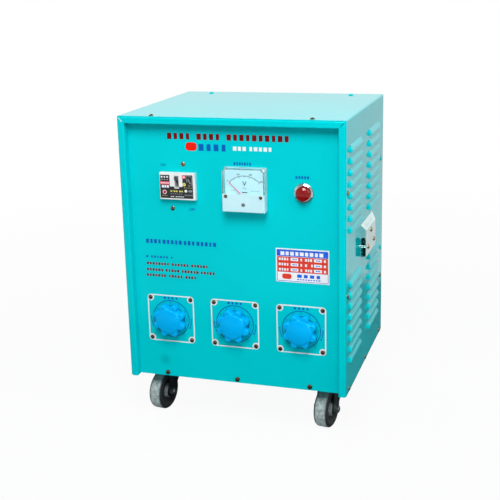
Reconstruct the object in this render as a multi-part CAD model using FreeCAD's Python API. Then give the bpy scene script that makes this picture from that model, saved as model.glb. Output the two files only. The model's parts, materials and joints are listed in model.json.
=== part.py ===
import FreeCAD, Part

import math
import os

os.makedirs("parts", exist_ok=True)

# Step-down transformer in a folded steel cabinet on four swivel casters.
# Millimetres. Floor at z = 0, +Z up, the front with its controls faces -Y,
# and the origin is the middle of the object's own box, on the floor.

# Cabinet
cabinet_width = 430.0
cabinet_depth = 373.0
cabinet_height = 513.0
sheet = 1.6
bend = 2.5
sheet_gap = 0.1
frame_width = 12.3
frame_reveal = 3.0
recess = 16.5
front_skirt = 27.0
rear_skirt = 40.0
mitre_slit = 0.5

# Base tray under everything
base_sheet = 2.3
base_recess = 10.0
base_screw_inset = 29.0
base_screw_rise = 7.0

# Screws through the cover, measured from the cabinet's edges
front_screw_inset = 14.5
rear_screw_inset = 27.0
side_screws_down = (130.0, 321.0)
rear_low_screw_down = 382.0
top_screw_x = 152.0
front_foot_screw_x = 143.0
rear_edge_screw_x = 143.0

# Louvres pressed out of the cover's sides and the rear panel
louvre_length = 105.0
louvre_height = 12.5
louvre_proud = 5.5
louvre_wall = 1.2
louvre_curl = 1.5
louvre_pitch = 20.9
louvre_rows = 8
louvre_groups_down = (60.0, 308.4)
louvre_columns_back = (79.0, 260.5)
rear_louvre_x = 85.0

# Outlet hoods on the two sides, placed from the cabinet's front and top. Screws and
# outlet are given as (back, up) from the hood's lower front corner
hood_start = 135.0
hood_down = 219.0
hood_length = 115.0
hood_height = 62.5
hood_proud = 11.2
hood_wall = 1.2
hood_top_fall = 10.0
hood_rear_fall = 21.0
hood_mouth_height = 34.0
hood_seat = 3.6
hood_screws = ((18.0, 16.5), (48.0, 42.7), (78.0, 16.5))
outlet_hole = 12.0
outlet_place = (48.0, 23.5)
grommet_bore = 8.5
grommet_lip = 2.0
grommet_proud = 3.5

# Circuit breaker
breaker_x = -105.7
breaker_rise = 381.6
breaker_nose_x = 2.1
breaker_nose_z = 1.7
breaker_nose_width = 69.5
breaker_nose_height = 50.5
breaker_nose_proud = 9.0
breaker_body_width = 76.0
breaker_body_height = 98.0
breaker_body_depth = 50.0
breaker_screw_x = 12.0
breaker_screw_z = 42.2
toggle_x = 1.1
toggle_z = 9.7
toggle_width = 7.6
toggle_slot = 23.0
toggle_hub = 7.5
toggle_depth = 16.0
toggle_length = 20.5
toggle_rest_tilt = 25.0
test_x = -23.1
test_z = -9.5
test_radius = 2.6
test_proud = 1.2
breaker_fit = 0.3
moving_gap = 0.3

# Voltmeter
meter_x = 26.8
meter_rise = 382.7
meter_size = 80.0
meter_proud = 19.0
meter_flange = 4.0
meter_barrel = 31.0
meter_barrel_depth = 42.0
meter_split = -6.5
meter_wall = 1.8
meter_bevel = 6.0
dial_thickness = 0.8
dial_stand = 7.5
pointer_pivot_z = -15.1
pointer_length = 41.0
pointer_rest_tilt = 45.0
pivot_radius = 0.8
pivot_fit = 0.05
meter_screw_x = 33.1
meter_screw_z = -11.0
meter_post = 3.0
zero_screw_z = -26.1
zero_screw_radius = 3.4

# Pilot lamp
lamp_x = 135.0
lamp_rise = 379.6
lamp_bezel = 18.4
lamp_bezel_proud = 4.2
lamp_lens = 13.8
lamp_shoulder = 10.5
lamp_proud = 16.0
lamp_bush = 11.0
lamp_depth = 36.0
lamp_grooves = 24

# Rating plate place on the front
plate_x = 131.0
plate_rise = 243.0
plate_width = 100.0
plate_height = 64.0
plate_thickness = 0.6

# Selector switches
selector_x = -1.9
selector_pitch = 129.3
selector_rise = 119.4
selector_screw_pitch = 82.0
selector_plate = 94.0
selector_plate_thickness = 6.0
selector_boss = 5.0
selector_space = 12.0
selector_shaft = 5.0
shaft_fit = 0.05
shaft_hole = 8.0
contact_circle = 29.0
contact_radius = 5.0
contact_height = 3.0
contact_tail = 2.5
contact_step = 30.0
contacts_each_side = 4
knob_gap = 2.0
knob_height = 22.0
knob_lobes = 8
knob_lobe_centre = 26.1
knob_lobe_radius = 6.8
knob_valley_radius = 5.0
knob_lobe_height = 15.0
knob_face = 22.5
knob_crown = 3.0
knob_edge = 3.2
knob_cap = 5.0

# Casters
caster_inset_x = 46.0
caster_inset_y = 93.0
wheel_radius = 37.5
wheel_width = 28.0
caster_headroom = 25.0
caster_trail = 32.0
caster_rest_turn = -8.0
caster_plate_x = 65.0
caster_plate_y = 95.0
caster_plate_thickness = 3.0
caster_bolt_x = 48.0
caster_bolt_y = 76.0
caster_bolt = 3.0
race_radius = 25.0
race_height = 7.0
kingpin = 6.0
fork_inside = 32.0
fork_sheet = 2.5
axle_sleeve = 6.0
axle_bolt = 4.0
turn_fit = 0.05

# Transformer inside
limb = 60.0
window_width = 60.0
window_height = 180.0
core_stack = 90.0
core_lift = 8.0
core_back = 10.0
bobbin_gap = 0.6
bobbin_wall = 2.0
bobbin_flange = 3.0
inner_winding = 10.0
winding_gap = 0.6
outer_winding = 12.0
clamp_leg = 50.0
clamp_foot = 34.0
clamp_steel = 4.0
clamp_inset = 14.0
clamp_bolt_inset = 26.0
clamp_bolt = 4.0
board_thickness = 6.0
board_length = 250.0
board_stud = 3.0
board_studs_in_row = 6

# Common fasteners: shank radius, head radius, head height
m5 = (2.5, 4.7, 2.7)
m4 = (2.0, 4.2, 2.4)
m3 = (1.5, 3.2, 1.6)
clear_fit = 0.25
thread_fit = 0.05

# Worked out from the sizes above
caster_height = 2 * wheel_radius + caster_headroom
skirt_z = caster_height - base_recess
top_z = skirt_z + cabinet_height
front_proud = max(knob_height, breaker_nose_proud, meter_proud, lamp_proud) - recess
front_y = -(cabinet_depth + louvre_proud - front_proud) / 2
rear_y = front_y + cabinet_depth
half_width = cabinet_width / 2
panel_y = front_y + recess
panel_back = panel_y + sheet
base_top = caster_height + base_sheet
inner_half = half_width - sheet - sheet_gap
inner_top = top_z - sheet - sheet_gap
core_width = 3 * limb + 2 * window_width
core_height = window_height + 2 * limb
core_bottom = base_top + core_lift
core_middle_y = (front_y + rear_y) / 2 + core_back

X = FreeCAD.Vector(1, 0, 0)
Y = FreeCAD.Vector(0, 1, 0)
Z = FreeCAD.Vector(0, 0, 1)


def at(x, y, z):
    return FreeCAD.Vector(x, y, z)


def block(x0, x1, y0, y1, z0, z1):
    return Part.makeBox(x1 - x0, y1 - y0, z1 - z0, at(x0, y0, z0))


def rod(radius, length, base, direction):
    return Part.makeCylinder(radius, length, base, direction)


def joined(shapes):
    return shapes[0].multiFuse(shapes[1:]).removeSplitter() if len(shapes) > 1 else shapes[0]


def save(name, shapes):
    """Write one node: one solid, or a group of separate ones."""
    if not isinstance(shapes, list):
        shapes = [shapes]
    solids = [solid for shape in shapes for solid in shape.Solids]
    node = solids[0] if len(solids) == 1 else Part.makeCompound(solids)
    node.exportStep("parts/" + name + ".step")


def outline(points):
    """Closed straight-sided face through the points."""
    return Part.Face(Part.makePolygon(points + [points[0]]))


def turned(profile, axis_point, axis):
    """Solid of revolution of a closed outline."""
    return outline(profile).revolve(axis_point, axis, 360)


def edges_along(shape, test):
    return [edge for edge in shape.Edges if test(edge)]


def rounded(shape, radius, test):
    """Fillet every edge whose middle passes the test."""
    chosen = edges_along(shape, test)
    return shape.makeFillet(radius, chosen)


def middle(edge):
    return edge.valueAt((edge.FirstParameter + edge.LastParameter) / 2)


def near(a, b, tolerance=0.01):
    return abs(a - b) < tolerance


def placed(shape, z_axis_to, position, spin=0.0):
    """Copy a shape built along +Z so that +Z points along z_axis_to."""
    copy = shape.copy()
    turn = FreeCAD.Rotation(Z, z_axis_to).multiply(FreeCAD.Rotation(Z, spin))
    copy.Placement = FreeCAD.Placement(position, turn).multiply(copy.Placement)
    return copy


def dome_arc(radius, foot, top):
    """Quarter section of a spherical cap centred on the Z axis."""
    rise = top - foot
    sphere = (rise ** 2 + radius ** 2) / (2 * rise)
    half = math.asin(radius / sphere) / 2
    bulge = at(sphere * math.sin(half), 0, top - sphere + sphere * math.cos(half))
    return Part.Arc(at(radius, 0, foot), bulge, at(0, 0, top))


def pan_screw(size, length):
    """Pan-head screw along +Z: the head's seat is at z = 0 and the shank below it."""
    shank, head, height = size
    rim_top = height * 0.4
    start = Part.LineSegment(at(0, 0, -length), at(shank - 0.4, 0, -length))
    tip = Part.LineSegment(at(shank - 0.4, 0, -length), at(shank, 0, 0.5 - length))
    side = Part.LineSegment(at(shank, 0, 0.5 - length), at(shank, 0, 0))
    seat = Part.LineSegment(at(shank, 0, 0), at(head, 0, 0))
    rim = Part.LineSegment(at(head, 0, 0), at(head, 0, rim_top))
    dome = dome_arc(head, rim_top, height)
    axis = Part.LineSegment(at(0, 0, height), at(0, 0, -length))
    pieces = [start, tip, side, seat, rim, dome, axis]
    body = Part.Face(Part.Wire([piece.toShape() for piece in pieces])).revolve(at(0, 0, 0), Z, 360)
    arm = head * 0.52
    slot = head * 0.11
    cross = [block(-arm, arm, -slot, slot, height * 0.4, height + 1),
             block(-slot, slot, -arm, arm, height * 0.4, height + 1)]
    return body.cut(joined(cross))


def hexagon(across_flats, height, hole=0.0):
    """Hexagonal nut or bolt head standing on z = 0."""
    reach = across_flats / math.sqrt(3)
    corners = [at(reach * math.cos(math.radians(a)), reach * math.sin(math.radians(a)), 0)
               for a in range(0, 360, 60)]
    body = outline(corners).extrude(at(0, 0, height))
    chamfer = Part.makeCone(reach + height * 0.6, reach - 0.6, height + 0.6, at(0, 0, 0))
    body = body.common(chamfer)
    return body.cut(rod(hole, height * 2, at(0, 0, -height / 2), Z)) if hole else body


def louvre_profile(inset):
    """Closed teardrop section in XZ: wall line at x = 0, crown, and a lip curled in down to z = 0."""
    proud = louvre_proud - inset
    height = louvre_height - inset
    rise = height - louvre_curl
    radius = (proud ** 2 + rise ** 2) / (2 * proud)
    half = math.asin(rise / radius) / 2
    bulge = at(proud - radius + radius * math.cos(half), 0, louvre_curl + radius * math.sin(half))
    lip_end = louvre_proud - louvre_curl
    corner = (louvre_curl - inset) * math.sqrt(0.5)
    wall = Part.LineSegment(at(0, 0, 0), at(0, 0, height))
    crown = Part.Arc(at(0, 0, height), bulge, at(proud, 0, louvre_curl))
    lip = Part.Arc(at(proud, 0, louvre_curl), at(lip_end + corner, 0, louvre_curl - corner),
                   at(lip_end, 0, inset))
    foot = Part.LineSegment(at(lip_end, 0, 0), at(0, 0, 0))
    mouth = [Part.LineSegment(at(lip_end, 0, inset), at(lip_end, 0, 0))] if inset else []
    return Part.Face(Part.Wire([piece.toShape() for piece in [wall, crown, lip] + mouth + [foot]]))


def louvre_form(inset):
    """Pressed hood with quarter-round ends: along Y, bulging to +X, lip at z = 0."""
    straight = louvre_length / 2 - louvre_proud
    section = louvre_profile(inset)
    run = section.copy()
    run.translate(at(0, -straight, 0))
    bar = run.extrude(at(0, 2 * straight, 0))
    far = section.revolve(at(0, 0, 0), Z, 90)
    far.translate(at(0, straight, 0))
    close = section.revolve(at(0, 0, 0), Z, -90)
    close.translate(at(0, -straight, 0))
    return joined([bar, far, close])


def louvre_tools():
    """The hood to add and the space to cut for one louvre on a wall whose face is x = 0."""
    skin = louvre_form(0)
    hollow = louvre_form(louvre_wall)
    reach = louvre_length / 2 - louvre_curl - louvre_wall
    slot_top = louvre_height - louvre_wall
    straight = louvre_length / 2 - louvre_proud
    slot = outline([at(0.2, -reach, 0), at(0.2, reach, 0),
                    at(0.2, straight, slot_top), at(0.2, -straight, slot_top)])
    slot = slot.extrude(at(-sheet - 1.2, 0, 0))
    return skin.cut(hollow), slot


def louvre_field(wall, places, turn):
    """Press louvres into a wall; each place is the middle of a lip on the wall's face."""
    hood, slot = louvre_tools()
    hoods = []
    slots = []
    for place in places:
        for piece, group in ((hood, hoods), (slot, slots)):
            copy = piece.copy()
            copy.Placement = FreeCAD.Placement(place, FreeCAD.Rotation(Z, turn)).multiply(copy.Placement)
            group.append(copy)
    return wall.cut(slots).fuse(hoods)


def louvre_heights(groups_down):
    return [top_z - down - row * louvre_pitch for down in groups_down for row in range(louvre_rows)]


def screw_places():
    """Where each screw through the cabinet's outside sits: place, outward direction, painted."""
    places = []
    front = front_y + front_screw_inset
    rear = rear_y - rear_screw_inset
    for side in (-1, 1):
        out = at(side, 0, 0)
        wall = side * half_width
        places += [(at(wall, front, top_z - down), out, False) for down in side_screws_down]
        places += [(at(wall, rear, top_z - down), out, True) for down in side_screws_down]
        places.append((at(wall, rear, top_z - rear_low_screw_down), out, False))
        for y in (front_y + base_screw_inset, (front_y + rear_y) / 2, rear_y - base_screw_inset):
            places.append((at(wall, y, skirt_z + base_screw_rise), out, False))
        places.append((at(side * top_screw_x, front, top_z), Z, False))
        places.append((at(side * top_screw_x, rear, top_z), Z, True))
    for x in (-front_foot_screw_x, 0, front_foot_screw_x):
        places.append((at(x, panel_y, skirt_z + base_screw_rise), -Y, False))
    for x in (-rear_edge_screw_x, 0, rear_edge_screw_x):
        places.append((at(x, rear_y, skirt_z + base_screw_rise), Y, True))
    return places


def clearance_holes(radius):
    return [rod(radius, sheet + 0.2, place - out * (sheet + 0.1), out) for place, out, _ in screw_places()]


def thread_holes():
    """Tapped holes just inside the outer sheet."""
    depth = 9.0
    return [rod(m5[0] + thread_fit, depth, place - out * (sheet + depth), out)
            for place, out, _ in screw_places()]


def make_cover():
    """Top and two sides, folded from one sheet, with the louvres pressed out."""
    y0 = front_y + frame_reveal
    y1 = rear_y - frame_reveal
    outer = block(-half_width, half_width, y0, y1, skirt_z, top_z)
    outer = rounded(outer, bend, lambda e: near(abs(middle(e).x), half_width) and near(middle(e).z, top_z)
                    and near(middle(e).y, (y0 + y1) / 2))
    inner = block(sheet - half_width, half_width - sheet, y0 - 1, y1 + 1, skirt_z - 1, top_z - sheet)
    inner = rounded(inner, bend - sheet, lambda e: near(middle(e).z, top_z - sheet)
                    and near(middle(e).y, (y0 + y1) / 2))
    cover = outer.cut(inner)
    heights = louvre_heights(louvre_groups_down)
    for side, turn in ((1, 0), (-1, 180)):
        places = [at(side * half_width, front_y + back, z) for back in louvre_columns_back for z in heights]
        cover = louvre_field(cover, places, turn)
    tools = clearance_holes(m5[0] + clear_fit)
    for side in (-1, 1):
        out = at(side, 0, 0)
        inside = side * (half_width - sheet - 1)
        outlet = hood_point(outlet_place, inside)
        tools.append(rod(outlet_hole, sheet + 2, outlet, out))
        tools += [rod(m4[0] + thread_fit, sheet + 2, hood_point(screw, inside), out)
                  for screw in hood_screws]
    return cover.cut(tools)


def tray(outer_y, inward, skirt_depth):
    """Folded tray that fits inside the cover: flat face at outer_y, skirts running inward."""
    y0, y1 = sorted((outer_y, outer_y + inward * skirt_depth))
    outer = block(-inner_half, inner_half, y0, y1, skirt_z, inner_top)
    outer = rounded(outer, bend, lambda e: near(middle(e).y, outer_y)
                    and (near(abs(middle(e).x), inner_half) or near(middle(e).z, inner_top)))
    h0, h1 = sorted((outer_y + inward * sheet, outer_y + inward * (skirt_depth + 1)))
    hollow = block(sheet - inner_half, inner_half - sheet, h0, h1, skirt_z - 1, inner_top - sheet)
    return outer.cut(hollow)


def corner_reliefs(y0, y1):
    """Notches at the two top corners, where the skirts meet inside the cover's bends."""
    return [block(*sorted((side * (inner_half - bend), side * (inner_half + 1))), y0, y1,
                  inner_top - bend, inner_top + 1) for side in (-1, 1)]


def notch_for_base(shape, y0, y1):
    """Skirts stop above the base tray, whose side flanges take their place."""
    return shape.cut(block(-cabinet_width, cabinet_width, y0, y1, skirt_z - 1, base_top + sheet_gap))


def make_front_panel():
    """Recessed face in a hat-edged frame, folded from one sheet, open at the bottom."""
    panel = tray(front_y, 1, front_skirt)
    opening = inner_half - frame_width
    opening_top = inner_top - frame_width
    well = block(-opening - sheet, opening + sheet, front_y, panel_back, skirt_z, opening_top + sheet)
    panel = panel.fuse(well)
    panel = panel.cut(block(-opening, opening, front_y - 1, panel_y, skirt_z - 1, opening_top))
    panel = panel.removeSplitter()
    panel = rounded(panel, bend * 0.8, lambda e: near(middle(e).y, front_y)
                    and (near(abs(middle(e).x), opening) or near(middle(e).z, opening_top)))
    panel = notch_for_base(panel, panel_back + 0.01, rear_y)
    panel = panel.cut(corner_reliefs(front_y + frame_reveal - 0.2, rear_y))
    slits = []
    for side in (-1, 1):
        slit = block(-mitre_slit / 2, mitre_slit / 2, front_y - 1, front_y + sheet + 0.5,
                     -frame_width * 1.6, -bend * 0.9)
        slit.rotate(at(0, 0, 0), Y, -45 * side)
        slit.translate(at(side * inner_half, 0, inner_top))
        slits.append(slit)
    return panel.cut(slits + front_openings() + thread_holes() + clearance_holes(m5[0] + clear_fit))


def through_panel(radius, x, z):
    return rod(radius, sheet + 2, at(x, panel_y - 1, z), Y)


def front_openings():
    """Everything cut in the recessed face for the instruments."""
    cuts = [breaker_nose(panel_y - 1, panel_back + 1, breaker_fit)]
    cuts += [through_panel(m4[0] + clear_fit, place.x, place.z) for place in breaker_screw_places()]
    cuts.append(through_panel(meter_barrel + 0.5, meter_x, skirt_z + meter_rise))
    cuts.append(through_panel(lamp_bush + 0.2, lamp_x, skirt_z + lamp_rise))
    for x in selector_positions():
        cuts.append(through_panel(shaft_hole, x, skirt_z + selector_rise))
    cuts += [through_panel(m4[0] + clear_fit, place.x, place.z) for place in selector_screw_places()]
    return cuts


def make_rear_panel():
    """Flat back with skirts inside the cover and louvres pressed outwards."""
    panel = tray(rear_y, -1, rear_skirt)
    panel = notch_for_base(panel, front_y, rear_y - sheet - 0.01)
    panel = panel.cut(corner_reliefs(front_y, rear_y - frame_reveal + 0.2))
    heights = louvre_heights(louvre_groups_down[:1])
    places = [at(side * rear_louvre_x, rear_y, z) for side in (-1, 1) for z in heights]
    panel = louvre_field(panel, places, 90)
    return panel.cut(thread_holes() + clearance_holes(m5[0] + clear_fit))


def make_base_tray():
    """Floor of the cabinet with its four edges turned down to the skirt line."""
    y0 = panel_back + sheet_gap
    y1 = rear_y - sheet - sheet_gap
    outer = block(-inner_half, inner_half, y0, y1, skirt_z, base_top)
    hollow = block(base_sheet - inner_half, inner_half - base_sheet, y0 + base_sheet, y1 - base_sheet,
                   skirt_z - 1, caster_height)
    cuts = thread_holes()
    for x, y in caster_places():
        for dx in (-caster_bolt_x / 2, caster_bolt_x / 2):
            for dy in (-caster_bolt_y / 2, caster_bolt_y / 2):
                cuts.append(rod(caster_bolt + clear_fit, base_sheet + 2,
                                at(x + dx, y + dy, caster_height - 1), Z))
    cuts += [rod(clamp_bolt + clear_fit, base_sheet + 2, at(place.x, place.y, caster_height - 1), Z)
             for place in foot_bolt_places()]
    return outer.cut(hollow).cut(cuts)


def make_cabinet_screws():
    """Brown and painted pan-head screws, each through the outer sheet into the one behind."""
    brown = []
    painted = []
    screw = pan_screw(m5, 9.0)
    for place, out, is_painted in screw_places():
        (painted if is_painted else brown).append(placed(screw, out, place, 20))
    return brown, painted


def hood_point(place, x):
    """A point given from the hood's lower front corner: back from it and up from it."""
    back, up = place
    return at(x, front_y + hood_start + back, top_z - hood_down - hood_height + up)


def hood_screw_places(side):
    return [hood_point(screw, side * (half_width + hood_proud)) for screw in hood_screws]


def sloping(low, high, fall, inset):
    """Outline over the hood's depth as (out, along) pairs: square at low, sloping in at high."""
    edge = high - inset * math.hypot(1, fall / hood_proud)
    out = hood_proud - inset
    return [(-1, low + inset), (out, low + inset), (out, edge - fall * out / hood_proud), (0, edge),
            (-1, edge)]


def hood_body(inset):
    """Block with a sloping top and rear end, 1 mm into the wall's face x = 0, or its hollow when inset."""
    corner = hood_point((0, 0), 0)
    side = outline([at(out, corner.y, z) for out, z in
                    sloping(corner.z, corner.z + hood_height, hood_top_fall, inset)])
    plan = outline([at(out, y, corner.z) for out, y in
                    sloping(corner.y, corner.y + hood_length, hood_rear_fall, inset)])
    return side.extrude(at(0, hood_length, 0)).common(plan.extrude(at(0, 0, hood_height)))


def make_hood(side):
    """Pressed and plated cable hood: sloping top and rear end, arched mouth to the front."""
    corner = hood_point((0, 0), 0)
    outer = rounded(hood_body(0), 1.6, lambda e: near(middle(e).x, hood_proud))
    inside_wall = block(-2, 0, corner.y - 1, corner.y + hood_length + 1,
                        corner.z - 1, corner.z + hood_height + 1)
    shell = outer.cut([hood_body(hood_wall), inside_wall])
    mouth_top = corner.z + hood_mouth_height
    half = (hood_proud - hood_wall) / 2 - 0.3
    centre = (hood_proud - hood_wall) / 2
    mouth = block(centre - half, centre + half, corner.y - 1, corner.y + hood_wall + 1,
                  corner.z + hood_wall, mouth_top)
    arch = rod(half, hood_wall + 2, at(centre, corner.y - 1, mouth_top), Y)
    bead = hood_length * 0.6
    slope_z = corner.z + hood_height - hood_top_fall / 2
    groove = rod(1.3, bead, at(hood_proud / 2 + 0.7, corner.y + hood_length * 0.08, slope_z + 0.8), Y)
    shell = shell.cut([mouth, arch, groove])
    seats = [rod(hood_seat, hood_proud - hood_wall / 2, hood_point(screw, 0), X) for screw in hood_screws]
    shell = shell.fuse(seats)
    shell = shell.cut([rod(m4[0] + clear_fit, hood_proud + 2, hood_point(screw, -1), X)
                       for screw in hood_screws])
    shell.translate(at(half_width, 0, 0))
    return shell if side > 0 else shell.mirror(at(0, 0, 0), X)


def make_grommet(side):
    """Ring snapped into the hole behind a hood."""
    lip = outlet_hole + grommet_lip
    waist = outlet_hole - 0.1
    inside = -sheet
    profile = [at(inside - 2.2, 0, grommet_bore), at(inside - 2.2, 0, lip - 0.8),
               at(inside - 1.4, 0, lip), at(inside, 0, lip), at(inside, 0, waist), at(0, 0, waist),
               at(0, 0, lip), at(grommet_proud - 0.8, 0, lip), at(grommet_proud, 0, lip - 0.8),
               at(grommet_proud, 0, grommet_bore)]
    ring = turned(profile, at(0, 0, 0), X)
    ring.translate(hood_point(outlet_place, half_width))
    return ring if side > 0 else ring.mirror(at(0, 0, 0), X)


def breaker_screw_places():
    z = skirt_z + breaker_rise
    return [at(breaker_x + breaker_screw_x, panel_y, z + breaker_screw_z),
            at(breaker_x - breaker_screw_x, panel_y, z - breaker_screw_z)]


def toggle_pivot():
    return at(breaker_x + toggle_x, panel_y - breaker_nose_proud + toggle_depth,
              skirt_z + breaker_rise + toggle_z)


def breaker_nose(y0, y1, grow):
    """The part of the breaker that comes through the panel, or its opening when grown."""
    x = breaker_x + breaker_nose_x
    z = skirt_z + breaker_rise + breaker_nose_z
    half_x = breaker_nose_width / 2 + grow
    half_z = breaker_nose_height / 2 + grow
    return block(x - half_x, x + half_x, y0, y1, z - half_z, z + half_z)


def make_breaker_case():
    """Moulded case: a stepped nose through the panel, with terminal wells top and bottom."""
    z = skirt_z + breaker_rise
    nose_front = panel_y - breaker_nose_proud
    back = panel_back + breaker_body_depth
    nose = breaker_nose(nose_front, panel_back + 1, 0)
    nose = rounded(nose, 0.8, lambda e: near(middle(e).y, nose_front))
    body = block(breaker_x - breaker_body_width / 2, breaker_x + breaker_body_width / 2,
                 panel_back, back, z - breaker_body_height / 2, z + breaker_body_height / 2)
    case = nose.fuse(body)
    pivot = toggle_pivot()
    slot_half = toggle_width / 2 + moving_gap
    reach = toggle_slot / 2
    cuts = [block(pivot.x - slot_half, pivot.x + slot_half, nose_front - 1, pivot.y,
                  pivot.z - reach, pivot.z + reach),
            rod(reach, 2 * slot_half, at(pivot.x - slot_half, pivot.y, pivot.z), X),
            rod(test_radius + moving_gap, 8, at(breaker_x + test_x, nose_front - 1, z + test_z), Y)]
    for end in (-1, 1):
        for column in (-1, 1):
            wall = z + end * breaker_body_height / 2
            low, high = sorted((wall + end, wall - end * 14))
            x = breaker_x + column * 22
            cuts.append(block(x - 10, x + 10, panel_back + 16, back - 12, low, high))
    cuts += [rod(m4[0] + thread_fit, 14, place, Y) for place in breaker_screw_places()]
    case = case.cut(cuts)
    bearing = rod(3.0, 2 * slot_half + 4, at(pivot.x - slot_half - 2, pivot.y, pivot.z), X)
    return case.fuse(bearing)


def make_breaker_toggle():
    """Lever on a round hub, resting in its upper position."""
    pivot = toggle_pivot()
    start = -toggle_width / 2
    hub = rod(toggle_hub, toggle_width, at(start, 0, 0), X)
    blade = outline([at(start, 0, -4.6), at(start, -toggle_length, -2.4),
                     at(start, -toggle_length, 2.4), at(start, 0, 4.6)]).extrude(at(toggle_width, 0, 0))
    lever = hub.fuse(blade).removeSplitter()
    lever = rounded(lever, 1.0, lambda e: near(middle(e).y, -toggle_length))
    lever = lever.cut(rod(3.0 + turn_fit, toggle_width + 2, at(start - 1, 0, 0), X))
    lever.rotate(at(0, 0, 0), X, -toggle_rest_tilt)
    lever.translate(pivot)
    return lever


def make_test_button():
    """Round push button, domed at the front."""
    x = breaker_x + test_x
    z = skirt_z + breaker_rise + test_z
    front = panel_y - breaker_nose_proud - test_proud
    button = rod(test_radius, 5.5, at(x, front, z), Y)
    return rounded(button, 0.6, lambda e: near(middle(e).y, front))


def make_meter_case():
    """Square flange against the panel with a round barrel behind, closed."""
    z = skirt_z + meter_rise
    half = meter_size / 2
    flange = block(meter_x - half, meter_x + half, panel_y - meter_flange, panel_y, z - half, z + half)
    flange = rounded(flange, 3.0, lambda e: near(abs(middle(e).x - meter_x), half)
                     and near(abs(middle(e).z - z), half))
    barrel = rod(meter_barrel, meter_barrel_depth, at(meter_x, panel_y, z), Y)
    boss = rod(3.0, dial_stand - meter_flange - 0.2, at(meter_x, panel_y - dial_stand + 0.2,
                                                       z + pointer_pivot_z), Y)
    posts = [rod(3.2, dial_stand - meter_flange, at(meter_x + dx, panel_y - dial_stand, z + 20.0), Y)
             for dx in (-26.0, 26.0)]
    case = joined([flange, barrel, boss] + posts)
    cuts = [rod(pivot_radius + pivot_fit, 6, at(meter_x, panel_y - dial_stand - 1, z + pointer_pivot_z), Y)]
    cuts += [rod(m3[0] + thread_fit, meter_flange + 1, at(meter_x + dx, panel_y - meter_flange - 1,
                                                          z + meter_screw_z), Y)
             for dx in (-meter_screw_x, meter_screw_x)]
    terminals = [rod(2.5, 14, at(meter_x + dx, panel_y + meter_barrel_depth, z), Y) for dx in (-12.0, 12.0)]
    return joined([case.cut(cuts)] + terminals)


def make_meter_dial():
    """Thin enamelled plate that carries the scale."""
    z = skirt_z + meter_rise
    half = meter_size / 2 - meter_wall - 1.2
    front = panel_y - dial_stand - dial_thickness
    dial = block(meter_x - half, meter_x + half, front, panel_y - dial_stand, z - 24.0, z + half)
    dial = dial.makeChamfer(meter_bevel, edges_along(
        dial, lambda e: near(middle(e).z, z + half) and near(abs(middle(e).x - meter_x), half)))
    hole = rod(3.6, dial_thickness + 2, at(meter_x, front - 1, z + pointer_pivot_z), Y)
    room = meter_post + 0.4
    notches = []
    for side in (-1, 1):
        x = meter_x + side * meter_screw_x
        notches.append(rod(room, dial_thickness + 2, at(x, front - 1, z + meter_screw_z), Y))
        notches.append(block(*sorted((x, x + side * meter_size)), front - 1, front + dial_thickness + 1,
                             z + meter_screw_z - room, z + meter_screw_z + room))
    return dial.cut([hole] + notches)


def meter_hood(inset):
    """Whole outside of the meter's cover, or its hollow when inset."""
    z = skirt_z + meter_rise
    half = meter_size / 2 - inset
    front = panel_y - meter_proud + inset
    back = panel_y - meter_flange + (1 if inset else 0)
    shape = block(meter_x - half, meter_x + half, front, back, z - half, z + half)
    shape = shape.makeChamfer(meter_bevel - inset * 0.5, edges_along(
        shape, lambda e: near(middle(e).z, z + half) and near(abs(middle(e).x - meter_x), half)))
    return rounded(shape, 1.5 if inset == 0 else 0.6, lambda e: near(middle(e).y, front))


def make_meter_covers():
    """Clear window over the scale, and the white cover below it."""
    z = skirt_z + meter_rise
    split = z + meter_split
    reach = meter_size
    shell = meter_hood(0).cut(meter_hood(meter_wall))
    upper = shell.common(block(meter_x - reach, meter_x + reach, front_y - reach, panel_y,
                               split + 0.05, z + reach))
    lower = shell.common(block(meter_x - reach, meter_x + reach, front_y - reach, panel_y,
                               z - reach, split))
    front = panel_y - meter_proud
    posts = []
    for dx in (-meter_screw_x, meter_screw_x):
        foot = at(meter_x + dx, front, z + meter_screw_z)
        posts.append(rod(meter_post, meter_proud - meter_flange, foot, Y))
    lower = lower.fuse(posts).common(meter_hood(0))
    holes = [rod(m3[0] + clear_fit, meter_proud, at(meter_x + dx, front - 1, z + meter_screw_z), Y)
             for dx in (-meter_screw_x, meter_screw_x)]
    adjuster = at(meter_x, front, z + zero_screw_z)
    bore = zero_screw_radius + moving_gap
    holes.append(rod(bore, meter_wall + 2, adjuster - Y, Y))
    socket = rod(zero_screw_radius + 2.0, 5.0, adjuster + Y * 0.2, Y)
    socket = socket.cut(rod(bore, 4.0, adjuster, Y))
    return upper, lower.fuse(socket).cut(holes)


def make_meter_pointer():
    """Needle with its hub, pivot pin and tail, resting at the left end of the scale."""
    depth = panel_y - dial_stand - dial_thickness - 1.0
    hub = rod(2.6, 1.6, at(0, -1.6, 0), Y)
    needle = outline([at(-0.9, -1.2, 0), at(-0.35, -1.2, pointer_length),
                      at(0.35, -1.2, pointer_length), at(0.9, -1.2, 0)]).extrude(at(0, 0.6, 0))
    tail = block(-0.9, 0.9, -1.2, -0.6, -9.0, 0)
    weight = rod(2.0, 1.2, at(0, -1.5, -9.0), Y)
    pin = rod(pivot_radius, 5.0, at(0, -0.5, 0), Y)
    pointer = joined([hub, needle, tail, weight, pin])
    pointer.rotate(at(0, 0, 0), Y, -pointer_rest_tilt)
    pointer.translate(at(meter_x, depth, skirt_z + meter_rise + pointer_pivot_z))
    return pointer


def make_zero_screw():
    """Slotted adjuster in the lower cover."""
    front = panel_y - meter_proud - 0.5
    z = skirt_z + meter_rise + zero_screw_z
    screw = rod(zero_screw_radius, 4.0, at(meter_x, front, z), Y)
    screw = rounded(screw, 0.5, lambda e: near(middle(e).y, front))
    return screw.cut(block(meter_x - 5, meter_x + 5, front - 1, front + 1.2, z - 0.6, z + 0.6))


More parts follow.
